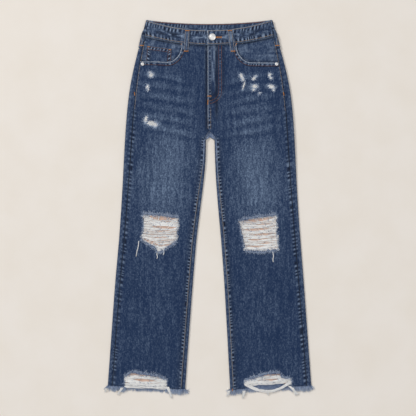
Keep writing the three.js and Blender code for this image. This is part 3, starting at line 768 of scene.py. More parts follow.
def bar_tack(x0, y0, x1, y1, z, width=2.2):
    """A dense zigzag from one point to the other."""
    length = math.hypot(x1 - x0, y1 - y0)
    t = np.linspace(0, 1, max(4, int(length / 0.75)))[:, None]
    k = np.linspace(-0.5, 0.5, 5)
    across_x, across_y = -(y1 - y0) / length * width * k, (x1 - x0) / length * width * k
    paths = xyz(lerp(x0, x1, t) + across_x, lerp(y0, y1, t) + across_y, z + 0.35 - k**2)
    keep_stitches("orange", paths, 0.45)


def build_stitches():
    thickness = np.array([0.6, 1.0, 1.1, 1.0, 0.6])
    for thread, rows in STITCHES.items():
        paths, widths = (np.concatenate(parts) for parts in zip(*rows))
        tones = np.random.default_rng(5).uniform(0.3, 1, (len(paths), 1))
        radius = widths[:, None] * thickness
        strands(f"stitches_{thread}", paths, radius, tones, STITCH_THREADS[thread])


# ------------------------------------------------------------------ pocket mouths and front panels
MOUTH_X, MOUTH_Y = 73, 384  # where a pocket mouth leaves the waistband, and its height at the side
BEND_X, BEND_Y = 113, 430  # its bend is from BEND_Y down to the side's height, and as far out as BEND_X
MOUTH_RISE = {"right": 2.4, "left": -0.9}  # towards the side


def pocket_mouth(side, offset=0.0):
    """The mouth from the waistband to the side, as x and y; offset moves it into the cloth."""
    out = OUT[side]
    near, low = MOUTH_X - offset, MOUTH_Y - offset
    down = np.linspace(front_seam(out * near) - 0.5, BEND_Y, 24)
    turn = np.linspace(0, np.pi / 2, 120)
    far = LEGS[side].outseam(low + 4) * out - 0.3
    level = np.linspace(BEND_X + 2, far, 60)
    x = np.concatenate([np.full_like(down, near), BEND_X - (BEND_X - near) * np.cos(turn), level])
    y = np.concatenate([down, BEND_Y - (BEND_Y - low) * np.sin(turn), np.full_like(level, low)])
    return out * x, y + MOUTH_RISE[side] * smooth(90, 150, x)


def above_mouth(side, x, y, offset=0.0):
    """How far a point is above the mouth's edge."""
    mouth_x, mouth_y = pocket_mouth(side, offset)
    return y - np.interp(x * OUT[side], mouth_x * OUT[side], mouth_y)


def in_pocket(side, x, y):
    """Whether a point is inside the mouth, where the front is cut away."""
    return (x * OUT[side] > MOUTH_X + 1) & (above_mouth(side, x, y, -1.0) > 0)


ROW, BACK_ROW = 2.1, 2.6  # heights of the cells of the panels' cloth
PANEL_LOW_Y, PANEL_TOP_Y = -480, 456
FRONT_COLUMNS = np.concatenate([
    np.arange(0, 0.09, 0.0085), np.arange(0.09, 0.78, 0.0155), np.linspace(0.78, 1, 26),
])
SEAM_GAP = 0.3  # half the gap between two cloths at a seam


def across_front(leg, u, y):
    """x at the share u of the way from the outseam to the inseam or the centre."""
    outer = leg.outseam(y) - leg.out * SEAM_GAP
    centre = CENTRE_FRONT_X + (0 if leg.side == "left" else 6)
    inner = lerp(leg.inseam(np.minimum(y, CROTCH_Y)), centre, smooth(CROTCH_Y, FRONT_CROTCH_Y + 4, y))
    return lerp(outer, inner, u)


def front_panel(side):
    leg = LEGS[side]
    u, level = np.meshgrid(FRONT_COLUMNS, np.arange(PANEL_LOW_Y, PANEL_TOP_Y + 1, ROW))
    x = across_front(leg, u, level)
    y = shifted_rows(leg, x, level) + (front_seam(x) - PANEL_TOP_Y) * smooth(300, PANEL_TOP_Y, level)
    x = across_front(leg, u, y)
    marks = front_marks(side, x, y)
    cx, cy = (v[:-1, :-1] / 2 + v[1:, 1:] / 2 for v in (x, y))
    ragged = 1.4 * noise(cx, cy, 3.5, 51) + 1.2 * noise(cx, cy, 8, 52)
    keep = (rip_distance(cx, cy, KNEE_HOLES[side]) + ragged > 0) & (cy + ragged > notch_top(side, cx))
    z = rounded_front(leg, x, y) + marks.height
    denim_sheet(
        f"front_cloth_{side}", f"front_panel_{side}", xyz(x, y, z), 1.1, marks, fade(side, x, y),
        (0.235, 0.925), [f"back_cloth_{side}"], 0.17738, keep=keep & ~in_pocket(side, cx, cy),
    )


# ------------------------------------------------------------------ back panels and yokes
# The parts of a row of the back: the strip by the outseam, the outer fold, the underside, the inner fold
# and the strip by the inseam. Above the crotch the last two lie flat by the centre seam.
OUTER_STRIP, OUTER_FOLD, UNDER, INNER_FOLD, INNER_STRIP = range(5)
CENTRE_FLAT = 15  # the width by the centre seam that the inner fold's points take up


def back_grid(leg, levels, proud=0.0):
    """Points of the back at these heights, and the part of the row that each is in."""
    arc = np.linspace(0, 1, 11)
    shares = [np.linspace(1, 0, 7)[:-1], arc, np.linspace(0, 1, 44)[1:-1], arc, np.linspace(0, 1, 5)[1:]]
    t, y = np.meshgrid(np.concatenate(shares), levels)
    part = np.broadcast_to(np.repeat(range(5), [len(v) for v in shares]), y.shape)
    floor, top = FLOOR_AT(y), TOP_AT(y) + proud
    middle, rise = (floor + top) / 2, (top - floor) / 2
    outer, seam = leg.outer_fold(y), leg.outseam(y) + leg.out * SEAM_GAP
    low = np.minimum(y, CROTCH_Y)
    inner, inseam = leg.inner_fold(low), leg.inseam(low) - leg.out * SEAM_GAP
    folded = smooth(CROTCH_Y + 5, CROTCH_Y - 5, y)
    turn = t * np.pi
    reach = np.minimum(FOLD_REACH, 0.8 * np.abs(outer - seam))
    start, end = outer - leg.out * reach, inner + leg.out * FOLD_REACH
    centre = CENTRE_BACK_X + leg.out * SEAM_GAP / 2

    def or_flat(width, x):
        return lerp(centre + leg.out * width, x, folded)

    x = np.choose(part, [
        lerp(start, seam, t),
        start + leg.out * reach * np.sin(turn),
        lerp(start, or_flat(CENTRE_FLAT, end), t),
        or_flat(CENTRE_FLAT * (1 - 0.8 * t), inner + leg.out * FOLD_REACH * (1 - np.sin(turn))),
        or_flat(CENTRE_FLAT * 0.2 * (1 - t), lerp(end, inseam, t)),
    ])
    z = np.choose(part, [
        top,
        middle + rise * np.cos(turn),
        floor,
        lerp(floor, middle - rise * np.cos(turn), folded),
        lerp(floor, top, folded),
    ])
    return x, y, z, part


def on_upper_side(part, y, z, margin=0):
    """Whether points of a back_grid are above the middle of the outer fold."""
    return (part == OUTER_STRIP) | ((part == OUTER_FOLD) & (z > (FLOOR_AT(y) + TOP_AT(y)) / 2 + margin))


def to_fold(leg, x, from_y, y):
    """Moves points of the outline at from_y, in proportion, to the outline at y."""
    wide, narrow = (leg.outer_fold(v) - CENTRE_BACK_X for v in (from_y, y))
    return CENTRE_BACK_X + (x - CENTRE_BACK_X) * narrow / wide


YOKE_RISE, YOKE_HALF = 44, 178.5  # how much the yoke's seam rises over this width


def yoke_seam(side, x):
    return low_side(f"back_yoke_{side}", 1) + YOKE_RISE * np.abs(x) / YOKE_HALF


def back_marks(leg, x, y, part):
    """The back's own seams underneath, and on the strips that come forward, the front's."""
    marks = front_marks(leg.side, x, y)
    marks.only_where((part == OUTER_STRIP) | ((part == INNER_STRIP) & (y < CROTCH_Y)))
    under = part == UNDER
    from_yoke, from_centre = y - yoke_seam(leg.side, x), np.abs(x - CENTRE_BACK_X)
    marks.roped(0.9 * under * bell(np.abs(from_yoke) - 5, 3), x, 160, 0, DOT_PITCH)
    seat = under * smooth(CROTCH_Y - 6, CROTCH_Y + 6, y)
    marks.roped(0.9 * seat * bell(from_centre - 6, 3), y, 163, 0, DOT_PITCH)
    folds = (part == OUTER_FOLD) | (part == INNER_FOLD)
    marks.add(
        rub=0.2 * folds * (0.5 + 0.5 * pucker(y, 150)),
        ink=0.8 * under * bell(from_yoke, 1.5) + 0.8 * seat * bell(from_centre, 1.5),
    )
    return marks


def back_fade(leg, x, y, part):
    middle = (leg.outer_fold(y) + leg.inner_fold(np.minimum(y, CROTCH_Y))) / 2
    across = bell((x - middle) / np.abs(leg.outer_fold(y) - middle), 0.7)
    seat, calf = 0.55 * across * bell(y - 250, 110), 0.35 * across * bell(y + 120, 200)
    forward = (part == OUTER_STRIP) | (part == INNER_STRIP)
    under = 0.22 + seat + calf + 0.08 * noise(x, y, 40, 21)
    return share(np.where(forward, 0.16 + 0.08 * noise(x, y, 30, 22), under))


def back_panel(side):
    leg = LEGS[side]
    levels = np.arange(PANEL_LOW_Y, PANEL_TOP_Y + 1, BACK_ROW)
    yoke_top = low_side(f"back_yoke_{side}", 1) + YOKE_RISE + 4
    x, y, z, part = back_grid(leg, levels[levels < yoke_top])
    y = shifted_rows(leg, x, y)
    marks = back_marks(leg, x, y, part)
    y = np.minimum(y, yoke_seam(side, x))
    denim_sheet(
        f"back_cloth_{side}", f"back_panel_{side}", xyz(x, y, z + marks.height), 1.1, marks,
        back_fade(leg, x, y, part), (0.30, 0.93), ["floor"], 0.215, looks=-1,
    )


def back_yoke(side):
    leg = LEGS[side]
    levels = np.linspace(410, 440, 24)
    x, y, z, part = back_grid(leg, levels)
    top = np.where(on_upper_side(part, y, z), front_seam(x), back_seam(x))
    y = lerp(yoke_seam(side, x) + SEAM_GAP, top, np.linspace(0, 1, len(levels))[:, None])
    x = to_fold(leg, x, levels[:, None], y)
    marks = back_marks(leg, x, y, part)
    denim_sheet(
        f"yoke_cloth_{side}", f"back_yoke_{side}", xyz(x, y, z + marks.height), 1.1, marks,
        back_fade(leg, x, y, part), (0.205, 0.09), ["floor"], 0.0125, looks=-1,
    )


# ------------------------------------------------------------------ waistband
BAND_HEIGHT, BAND_MIDDLE_Y, BAND_HIGHEST_Y = 41, 470.0, 495.6
BAND_PROUD = 1.3  # its face above the panels
BAND_WALL = 2.2  # the two cloths of its back half
SIDE_TOP_Y = 450  # above this, the front's side runs as the outer fold does


def band_marks(x, up, seed):
    """Puckers along both stitch lines of the waistband; up is 0 at its seam and 1 at its top."""
    marks = Marks(np.shape(x))
    height = up * BAND_HEIGHT
    marks.add(height=noise(x, height, 26, seed) * 1.1 + noise(x, height, 9, seed + 1) * 0.5)
    for at, lean, phase in ((8.0, 0.12, 2), (33.0, -0.2, 3)):
        broken = share(0.75 + 0.7 * noise(x, height, 6, seed + 10 + phase))
        marks.roped(broken * bell(height - at, 5.2), x + lean * (height - at), seed + phase, 0.8, BAND_PITCH)
    middle = bell(height - 20.5, 7)
    creases = noise(x + 0.9 * height, height * 2.2, 11, seed + 4)
    creases = creases + 0.5 * noise(x - height, height * 3, 5, seed + 5)
    marks.add(
        height=0.5 * middle * creases,
        rub=0.9 * share(1.9 * creases - 0.3) * middle,
        ink=0.95 * share(0.1 - 1.8 * creases) * middle,
    )
    rim = np.minimum(height, BAND_HEIGHT - height)
    marks.add(
        height=-1.1 * smooth(1.8, 0, rim),
        rub=0.9 * bell(rim, 1.5),
        ink=0.75 * bell(height - 2.2, 1.0),
        bare=0.42 * bell(height - BAND_HEIGHT, 1.6) * (0.6 + 0.4 * noise(x, height, 5, seed + 7)),
    )
    return marks


def band_side(leg, y):
    """Where the front waistbands end at the side."""
    low = np.minimum(y, SIDE_TOP_Y)
    return leg.outseam(low) + (leg.outer_fold(y) - leg.outer_fold(low))


def lap_rise(side, x):
    """The left side is thicker where it laps over the right."""
    return 0.9 * smooth(48, 20, x) if side == "left" else 0


def band_front(side):
    leg = LEGS[side]
    end = low_side("waistband_front_left", 0) + (0 if side == "left" else 3)
    u, up = grid(120, 26)
    x = lerp(band_side(leg, BAND_MIDDLE_Y), end, u)
    y = lerp(front_seam(x) + 0.2, front_top(x), up)
    x = lerp(band_side(leg, y), end, u)
    marks = band_marks(x, up, 200 + leg.out)
    if side == "left":
        marks.add(
            height=lap_rise(side, x) - smooth(end + 1.6, end, x),
            rub=bell(x - end - 0.6, 1.4),
            bare=0.9 * bell(x - end, 1.6) * (0.5 + 0.5 * smooth(0.8, 0.95, up)),
        )
    else:
        # The right band's end dips under the left one's lap and is painted dark there as shade.
        marks.add(height=-1.5 * smooth(-22, -8, x), ink=0.5 * smooth(-10, -5, x))
    z = rounded_front(leg, x, y) + BAND_PROUD + marks.height
    denim_sheet(
        f"band_cloth_{side}", f"waistband_front_{side}", xyz(x, y, z), 1.9, marks,
        0.42 + 0.16 * noise(x, y, 20, 210), (0.178, 0.043), ["band_cloth_back"], 0.0072, lined=True,
    )


def band_front_z(side, x, y):
    leg = LEGS[side]
    up = (y - front_seam(x)) / (front_top(x) - front_seam(x))
    marks = band_marks(x, up, 200 + leg.out)
    return rounded_front(leg, x, y) + BAND_PROUD + marks.height + lap_rise(side, x)


def band_back():
    """The back of the waistband, from one side of the front round the back to the other."""
    halves = []
    for leg in LEGS.values():
        x, y, z, part = back_grid(leg, np.full(22, BAND_MIDDLE_Y), BAND_PROUD)
        upper = on_upper_side(part, y, z, 1)
        up = np.broadcast_to(np.linspace(0, 1, 22)[:, None], x.shape)
        low = np.where(upper, front_seam(x), back_seam(x)) + 0.2
        high = np.minimum(np.where(upper, front_top(x), back_top(x)), BAND_HIGHEST_Y)
        y = lerp(low, high, up)
        x = to_fold(leg, x, BAND_MIDDLE_Y, y)
        halves.append([v[:, :-1] for v in (x, y, z, part, up)])
    x, y, z, part, up = (np.concatenate([right, left[:, ::-1]], 1) for right, left in zip(*halves))
    marks = band_marks(x, up, 220)
    denim_sheet(
        "band_cloth_back", "waistband_back", xyz(x, y, z + marks.height * (part == OUTER_STRIP)), BAND_WALL,
        marks, 0.42, (0.44, 0.043), ["floor"], 0.0178, "folded", looks=-1, lined=True,
    )


# ------------------------------------------------------------------ pockets
FACING_DEPTH = 3.0  # below the front's face
COIN_RISE = 1.2
COIN = [(-164.5, 428), (-98.5, 419.5), (-101.3, 374), (-168, 374)]  # top left, top right and down
HEM_ROWS = np.array([-0.4, 0.0, 0.7, 1.6, 3.0, 4.5, 6.0, 7.5, 9.0, 10.4, 11.4])  # from the mouth's edge
HEM_STITCH_ROWS = {"grey": 3, "rust": 8}  # which of them are stitched


def facing_z(side, x, y):
    return rounded_front(LEGS[side], x, y) - FACING_DEPTH + 0.5 * noise(x, y, 24, 231)


def pocket_facing(side):
    leg = LEGS[side]
    u, v = grid(54, 38)
    near = leg.out * 62.0

    def far(y):
        return leg.outseam(np.minimum(y, SIDE_TOP_Y)) + leg.out

    y = lerp(low_side(f"pocket_facing_{side}", 1), front_seam(lerp(far(420), near, u)), v)
    x = lerp(far(y), near, u)
    marks = Marks(x.shape)
    rim = above_mouth(side, x, y)
    # Painted shade on the facing under the mouth's edge and under the waistband; the rest is rubbed pale at
    # random.
    marks.add(
        ink=0.65 * smooth(10, 1, rim) + 0.6 * smooth(8, 1, front_seam(x) - y),
        rub=0.45 * share(noise(x, y, 12, 232, 0.5) + 0.4 * noise(x, y, 5, 235, 0.5)),
    )
    busted_seam(marks, (leg.outseam(np.minimum(y, SIDE_TOP_Y)) - x) * leg.out, y, 233, 0.5)
    faded = 0.4 + 0.18 * noise(x, y, 30, 234) + 0.12 * bell(x - leg.out * 125, 30)
    denim_sheet(
        f"facing_cloth_{side}", f"pocket_facing_{side}", xyz(x, y, facing_z(side, x, y) + marks.height), 1.0,
        marks, faded, (0.125, 0.085), [f"back_cloth_{side}"], 0.0098, slot="denim_dark",
    )


def edge_rows(x, y, offsets):
    """The curve moved sideways by each offset, as rows of points."""
    along = np.stack([np.gradient(x), np.gradient(y)], -1)
    along /= np.linalg.norm(along, axis=1, keepdims=True)
    return x + along[:, 1] * offsets[:, None], y - along[:, 0] * offsets[:, None]


def pocket_hem(side):
    """The turned, double-stitched edge of a pocket mouth, lying on the front."""
    out = OUT[side]
    mouth = np.stack(pocket_mouth(side), -1)
    x, y = edge_rows(*mouth.T, out * HEM_ROWS)
    along = lengths_along(mouth)
    s, d = np.meshgrid(along, HEM_ROWS)
    marks = Marks(x.shape)
    marks.roped(0.8 * bell(d - 6.0, 2.5), s + 0.2 * d, 240 + out, 0.4, DOT_PITCH)
    marks.add(
        rub=bell(d - 1.0, 2.0),
        ink=0.7 * bell(d - 10, 1.6) + 0.5 * bell(d - 4.4, 1.2),
        bare=0.5 * bell(d - 0.8, 1.4) * (0.7 + 0.4 * noise(s, d, 7, 245)),
    )
    lift = 1.25 * smooth(-0.4, 1.4, d) * smooth(11.6, 9.4, d) - 0.9 * smooth(0.5, -0.4, d) - 0.25
    lie = 0.9 * noise(x, y, 85, 1) * smooth(445, 400, y)  # the front's widest waves
    points = xyz(x, y, rounded_front(LEGS[side], x, y) + lie + lift + marks.height)
    denim_sheet(
        f"pocket_hem_{side}", (), points, 0.8, marks, 0.32, (0.0118, float(along[-1]) * MM),
        [f"front_cloth_{side}"],
    )
    for thread, row in HEM_STITCH_ROWS.items():
        stitch(points[row] + (0, 0, STITCH_LIFT), thread, width=0.46)


def coin_pocket():
    u, v = grid(32, 24)
    x, y = (lerp(lerp(d, c, u), lerp(a, b, u), v) for a, b, c, d in zip(*COIN))
    marks = Marks(x.shape)
    from_top, from_left, from_right = (1 - v) * 50, u * 65, (1 - u) * 65
    for d, s in ((from_top, x), (from_left, y), (from_right, y)):
        marks.roped(bell(d - 5, 3.0), s + 0.5 * d, 250, 0.35, DOT_PITCH)
        marks.add(rub=0.6 * bell(d - 0.8, 1.2), ink=0.5 * bell(d - 10.5, 1.8))
    rim = np.minimum(np.minimum(from_top, from_left), from_right)
    marks.add(ink=0.8 * smooth(1.6, 0, rim))
    z = facing_z("right", x, y) + COIN_RISE - smooth(1.5, 0, rim) + marks.height
    denim_sheet(
        "coin_cloth", "coin_pocket", xyz(x, y, z), 0.9, marks, 0.42 + 0.15 * noise(x, y, 15, 251),
        (0.066, 0.054), ["facing_cloth_right"], slot="denim_dark",
    )


def back_pocket(side):
    low, high = box(f"back_pocket_{side}")
    half = (high.x - low.x) / 2
    u, v = np.meshgrid(np.linspace(-1, 1, 48), np.linspace(0, 1, 52))
    x = (low.x + high.x) / 2 + u * lerp(half - 10, half, v)
    y = lerp(low.y + 23 * np.abs(u), high.y - 4 + 4 * u * OUT[side], v)
    marks = Marks(x.shape)
    rim = np.minimum((1 - np.abs(u)) * half, np.minimum(v, 1 - v) * 130)
    marks.roped(0.8 * bell(rim - 5, 3), x + y, 260, 0.0, DOT_PITCH)
    marks.add(rub=0.6 * bell(rim, 1.4))
    faded = 0.5 + 0.2 * bell(u**2 + (v - 0.5) ** 2, 0.5) + 0.1 * noise(x, y, 25, 261)
    denim_sheet(
        f"back_pocket_cloth_{side}", f"back_pocket_{side}", xyz(x, y, 0.05 + 0.7 * smooth(1.6, 0, rim)), 1.2,
        marks, faded, (0.14, 0.158), ["floor"], 0.0187, looks=-1,
    )


# ------------------------------------------------------------------ belt loops
LOOP_WIDTH = 13.2
LOOP_CUT = 1.25  # a loop's cut length, for each length that it spans


def loop_ends(node):
    """The middle of a loop's top and of its foot."""
    points = vertices_of(node)
    y = points[:, 1]
    return points[y > y.max() - 0.5].mean(0), points[y < y.min() + 0.5].mean(0)


def loop_shell(place, points, looks=1, out=0):
    """A belt loop through these points, stitched along both edges; a side loop looks outwards."""
    name = f"loop_cloth_{place}"
    rows, columns = points.shape[:2]
    length = float(lengths_along(points[:, columns // 2])[-1])
    d = np.linspace(0, LOOP_WIDTH, columns)
    rim = np.minimum(d, LOOP_WIDTH - d)
    along = np.linalg.norm(points[:, 0] - points[0, 0], axis=1)[:, None]
    marks = Marks((rows, columns))
    streaks = noise(d, along, 2.2, 270 + len(name), 9)
    # A pale worn middle and worn edges; the dark lines just inside the stitching, broken by the puckers, are
    # painted shadow.
    marks.add(
        rub=0.8 * bell(rim - 6, 3.0) * share(0.6 + 0.8 * streaks) + 0.7 * bell(rim - 0.3, 1.0),
        ink=0.85 * bell(rim - 3.0, 1.2) * share(0.9 - pucker(along, 271, DOT_PITCH)),
    )
    denim_sheet(
        name, f"belt_loop_{place}", points, 1.1, marks, 0.46, (LOOP_WIDTH * MM, length * MM * LOOP_CUT),
        ["band_cloth_back"], looks=looks, lined=True, out=out,
    )
    normals, facing = looking(points, looks, out)
    for column in (2, -3):
        stitch((points + 0.15 * facing * normals)[2:-2, column], "tan", width=0.4, looks=0.5 * looks)


def front_loop(side):
    top, foot = loop_ends(f"belt_loop_front_{side}")
    u, v = grid(13, 40, -0.5)
    x, y = lerp(foot[0], top[0], v) + u * LOOP_WIDTH, lerp(foot[1], top[1], v)
    on_band = smooth(front_seam(x) - 3, front_seam(x) + 2, y)
    rise = 1.6 + 1.5 * np.sin(np.pi * share((v - 0.06) / 0.88)) ** 0.7
    z = TOP_AT(y) + on_band * BAND_PROUD + rise - 0.9 * smooth(0.42, 0.5, np.abs(u))
    loop_shell(f"front_{side}", xyz(x, y, z + lap_rise(side, x) * on_band))


def side_loop(side):
    """A loop that comes round the outer fold of the waistband."""
    leg = LEGS[side]
    low, high = box(f"belt_loop_side_{side}")
    u, v = grid(15, 44, -0.5)
    y = lerp(low.y, high.y, v)
    along = lerp(2.0, -13, smooth(0.1, 0.9, v)) + u * LOOP_WIDTH * leg.out
    off = 1.5 + 0.8 * np.sin(np.pi * v)
    floor, top = FLOOR_AT(y), TOP_AT(y) + BAND_PROUD * smooth(442, 452, y)
    rise, middle = (top - floor) / 2, (top + floor) / 2
    radius = (FOLD_REACH + rise) / 2
    turn = np.clip(along / radius, -np.pi / 2, np.pi / 2)
    past = np.maximum(np.abs(along) - radius * np.pi / 2, 0)
    x = leg.outer_fold(y) - leg.out * (FOLD_REACH + past) + leg.out * (FOLD_REACH + off) * np.cos(turn)
    z = np.maximum(middle + (rise + off) * np.sin(turn), 0.05)
    loop_shell(f"side_{side}", xyz(x, y, z), 1, leg.out)


def back_loop():
    low, high = box("belt_loop_back")
    u, v = grid(9, 30)
    z = 0.05 + 0.3 * smooth(0.1, 0, np.minimum(u, 1 - u))
    loop_shell("back", xyz(lerp(high.x, low.x, u), lerp(low.y, high.y, v), z), -1)


# ------------------------------------------------------------------ metal
BUTTON_DISH = [(-1.7, 3.6), (-2.2, 3.15), (-3.0, 3.0), (-3.6, 3.15), (-4.0, 3.45), (-4.6, 3.55)]
RIVET_PROFILE = [
    (0.01, 0), (4.3, 0), (4.5, 0.4), (4.2, 0.9), (3.3, 1.15), (2.6, 1.0), (2.2, 1.1), (1.8, 1.7), (1.0, 2.0),
    (0.01, 2.05),
]


def middle_of(node):
    """The middle of a CAD solid in plan, its radius and its lowest height."""
    low, high = box(node)
    return (low.x + high.x) / 2, (low.y + high.y) / 2, (high.x - low.x) / 2, low.z


def lathe(name, node, profile, place, around):
    """A nickel piece turned about Z, from the radius and height of each ring."""
    turn = np.arange(around) * 2 * np.pi / around
    r, h = np.array(profile, float).T[:, :, None]
    index = np.arange(len(r) * around).reshape(-1, around)
    after = np.roll(index, -1, 1)
    faces = np.stack([index[:-1], after[:-1], after[1:], index[1:]], -1).reshape(-1, 4)
    vertices = xyz(r * np.cos(turn), r * np.sin(turn), h).reshape(-1, 3) + np.array(place)
    add_object(name, vertices, faces, NICKEL, node)


def button():
    x, y, r, z = middle_of("waist_button")
    rim = [(r - 0.9 + 0.9 * math.sin(a), 2.6 - 1.3 * math.cos(a)) for a in np.linspace(0, math.pi, 12)]
    dish = [(r + inwards, height) for inwards, height in BUTTON_DISH]
    middle = [(2.4, 3.7), (1.4, 3.65), (0.9, 3.4), (0.01, 3.35)]
    profile = [(0.01, 0.0), (3.6, 0.0), (3.8, 1.2)] + rim + dish + middle
    lathe("button", "waist_button", profile, (x, y, z + 1.0), 48)


def rivets():
    for side in OUT:
        x, y, _, _ = middle_of(f"pocket_rivet_{side}")
        lathe(f"rivet_{side}", f"pocket_rivet_{side}", RIVET_PROFILE, (x, y, TOP_AT(y) + 0.9), 28)


# ------------------------------------------------------------------ rows of stitching
def on_front(side, x, y):
    x, y = np.broadcast_arrays(np.asarray(x, float), np.asarray(y, float))
    return xyz(x, y, front_z(side, x, y) + STITCH_LIFT)


def on_band(side, x, y):
    return xyz(x, y, band_front_z(side, x, y) + STITCH_LIFT)


# Tacks on the fly: from x and y, to x and y, the x where the cloth's height is taken, and the width.
FLY_TACKS = [(-4.0, 294, 6.0, 294, 1.0, 2.6), (-2.6, 284, -3.2, 272, 0.0, 2.2)]
# Tacks at the inner ends of the pocket mouths and on the outseams: from x and y, to x and y.
SEAM_TACKS = [
    ("right", -73.5, 433, -70, 428), ("left", 70, 428, 73, 434),
    ("right", -197.5, 304, -196.5, 296), ("left", 197, 304, 198.5, 296),
]


def front_stitches():
    for side, leg in LEGS.items():
        x = np.linspace(leg.outseam(SIDE_TOP_Y) - leg.out * 2, -4.0 if side == "left" else -7.0, 160)
        for up in (0.10, 0.95):
            stitch(on_band(side, x, lerp(front_seam(x), front_top(x), up)), "tan", width=0.62)
        y = np.linspace(438, 256, 120)
        stitch(on_front(side, leg.outseam(y) - leg.out * 2.2, y), "tan")
        y = np.linspace(168, -476, 300)
        stitch(on_front(side, leg.inseam(y) + leg.out * 1.4, y), "tan", width=0.5)
    x = np.linspace(-148, 148, 300)
    y = back_top(x) - 1.6
    stitch(xyz(x, y, FLOOR_AT(y) + BAND_WALL + 0.3), "rust", 3.4, 3.2, 0.85)


def fly_stitches():
    y = np.linspace(front_seam(0) + 2, front_top(0) - 1, 40)
    stitch(on_band("left", np.full_like(y, CENTRE_FRONT_X + 2.2), y), "grey", width=0.5)
    y = np.linspace(front_seam(0) - 1, 226, 160)
    stitch(on_front("left", CENTRE_FRONT_X + 1.5, y), "grey", width=0.5)
    for inset in (0.0, FLY_ROWS_GAP):
        turn = np.linspace(0, np.radians(84), 40)
        down = np.linspace(front_seam(30) - 1, FLY_TURN_Y, 90)[:-1]
        reach = FLY_X - CENTRE_FRONT_X - inset
        x = CENTRE_FRONT_X + reach * np.concatenate([np.ones_like(down), np.cos(turn)])
        y = np.concatenate([down, FLY_TURN_Y - (FLY_DROP - inset) * np.sin(turn)])
        stitch(on_front("left", x, y), "rust", width=0.55)
    for inset in (1.5, 8.5):
        stitch(on_front("left", CENTRE_FRONT_X + inset, np.linspace(262, 206, 60)), "tan")
    for x0, y0, x1, y1, over_x, width in FLY_TACKS:
        bar_tack(x0, y0, x1, y1, float(front_z("left", over_x, (y0 + y1) / 2)) + 0.3, width)


def seam_tacks():
    for side, x0, y0, x1, y1 in SEAM_TACKS:
        bar_tack(x0, y0, x1, y1, float(front_z(side, x0, y0)) + 0.9)
    bar_tack(62, -487, 62.5, -481, 6.0)  # at the left hem


def coin_stitches():
    (x0, y0), (x1, y1), (x2, y2), (x3, y3) = COIN
    rows = [
        (x0, y0 - 2, x1, y1 - 2), (x0, y0 - 9, x1, y1 - 9), (x0 + 2, y0, x3 + 2, y3),
        (x1 - 2, y1, x2 - 2, y2), (x1 - 9, y1, x2 - 9, y2),
    ]
    for from_x, from_y, to_x, to_y in rows:
        x, y = np.linspace(from_x, to_x, 30), np.linspace(from_y, to_y, 30)
        stitch(xyz(x, y, facing_z("right", x, y) + COIN_RISE + 0.15), "rust")
    for x, y in ((x0 + 5, y0 - 2.5), (x1 - 5, y1 - 2)):
        bar_tack(x - 2.5, y, x + 2.5, y - 0.6, float(facing_z("right", x, y)) + COIN_RISE + 0.3)


def loop_tacks():
    for side, leg in LEGS.items():
        (top_x, top_y, _), (foot_x, foot_y, _) = loop_ends(f"belt_loop_front_{side}")
        rise = BAND_PROUD + 2.4 + (0.7 if side == "left" else 0)
        for x, y, at_y, z in ((top_x, top_y, top_y - 3, rise), (foot_x, foot_y, foot_y + 3, 2.4)):
            bar_tack(x - 5.6, at_y, x + 5.6, at_y, float(TOP_AT(y)) + z, 2.6)
        low, _ = box(f"belt_loop_side_{side}")
        x, y = leg.outer_fold(low.y + 4) - leg.out * 6, low.y + 4
        bar_tack(x - 5, y, x + 5, y, float(TOP_AT(low.y)) + 1.7, 2.4)


def buttonhole():
    x, y, r, _ = middle_of("waist_button")
    x0, x1, y = x + r - 1.0, x + r + 15.0, y - 0.5
    z = float(band_front_z("left", x0 + 4, y)) + 0.25
    for dy in (-1.1, 1.1):
        bar_tack(x0, y + dy, x1, y + dy, z, 1.6)
    bar_tack(x1, y - 2.2, x1, y + 2.2, z, 1.8)


def under_stitches():
    """Stitching of the seat: yoke seams, centre seam and patch pockets."""
    insets = (2.5, 8.5)
    for side, leg in LEGS.items():
        x = np.linspace(CENTRE_BACK_X + leg.out * 3, leg.outer_fold(400) - leg.out * 12, 60)
        for inset in insets:
            y = yoke_seam(side, x) + inset
            under_stitch(xyz(x, y, FLOOR_AT(y) - 0.1))
        low, high = box(f"back_pocket_{side}")
        centre, half = (low.x + high.x) / 2, (high.x - low.x) / 2
        for inset in insets:
            side_x, corner_x, top = half - inset, half - 10 - inset, high.y - 8
            tip = low.y + inset * 1.1
            corners = [(-side_x, top), (-corner_x, tip + 22), (0, tip), (corner_x, tip + 22), (side_x, top)]
            for (x0, y0), (x1, y1) in zip(corners, corners[1:]):
                t = np.linspace(0, 1, 30)
                under_stitch(xyz(centre + lerp(x0, x1, t), lerp(y0, y1, t), 0.05))
    y = np.linspace(yoke_seam("left", 0) + 60, CROTCH_Y + 4, 80)
    for inset in insets:
        under_stitch(xyz(CENTRE_BACK_X + inset, y, FLOOR_AT(y) - 0.1))


# ------------------------------------------------------------------ rips: threads, patches, fray
def span_at(polygon, y):
    """Left and right ends of the outline at each height y."""
    left, right = np.full(len(y), 1e9), np.full(len(y), -1e9)
    for (x0, y0), (x1, y1) in outline_sides(polygon):
        if y0 != y1:
            t = (y - y0) / (y1 - y0)
            hit, x = (t >= 0) & (t <= 1), x0 + t * (x1 - x0)
            left = np.where(hit, np.minimum(left, x), left)
            right = np.where(hit, np.maximum(right, x), right)
    return left, right


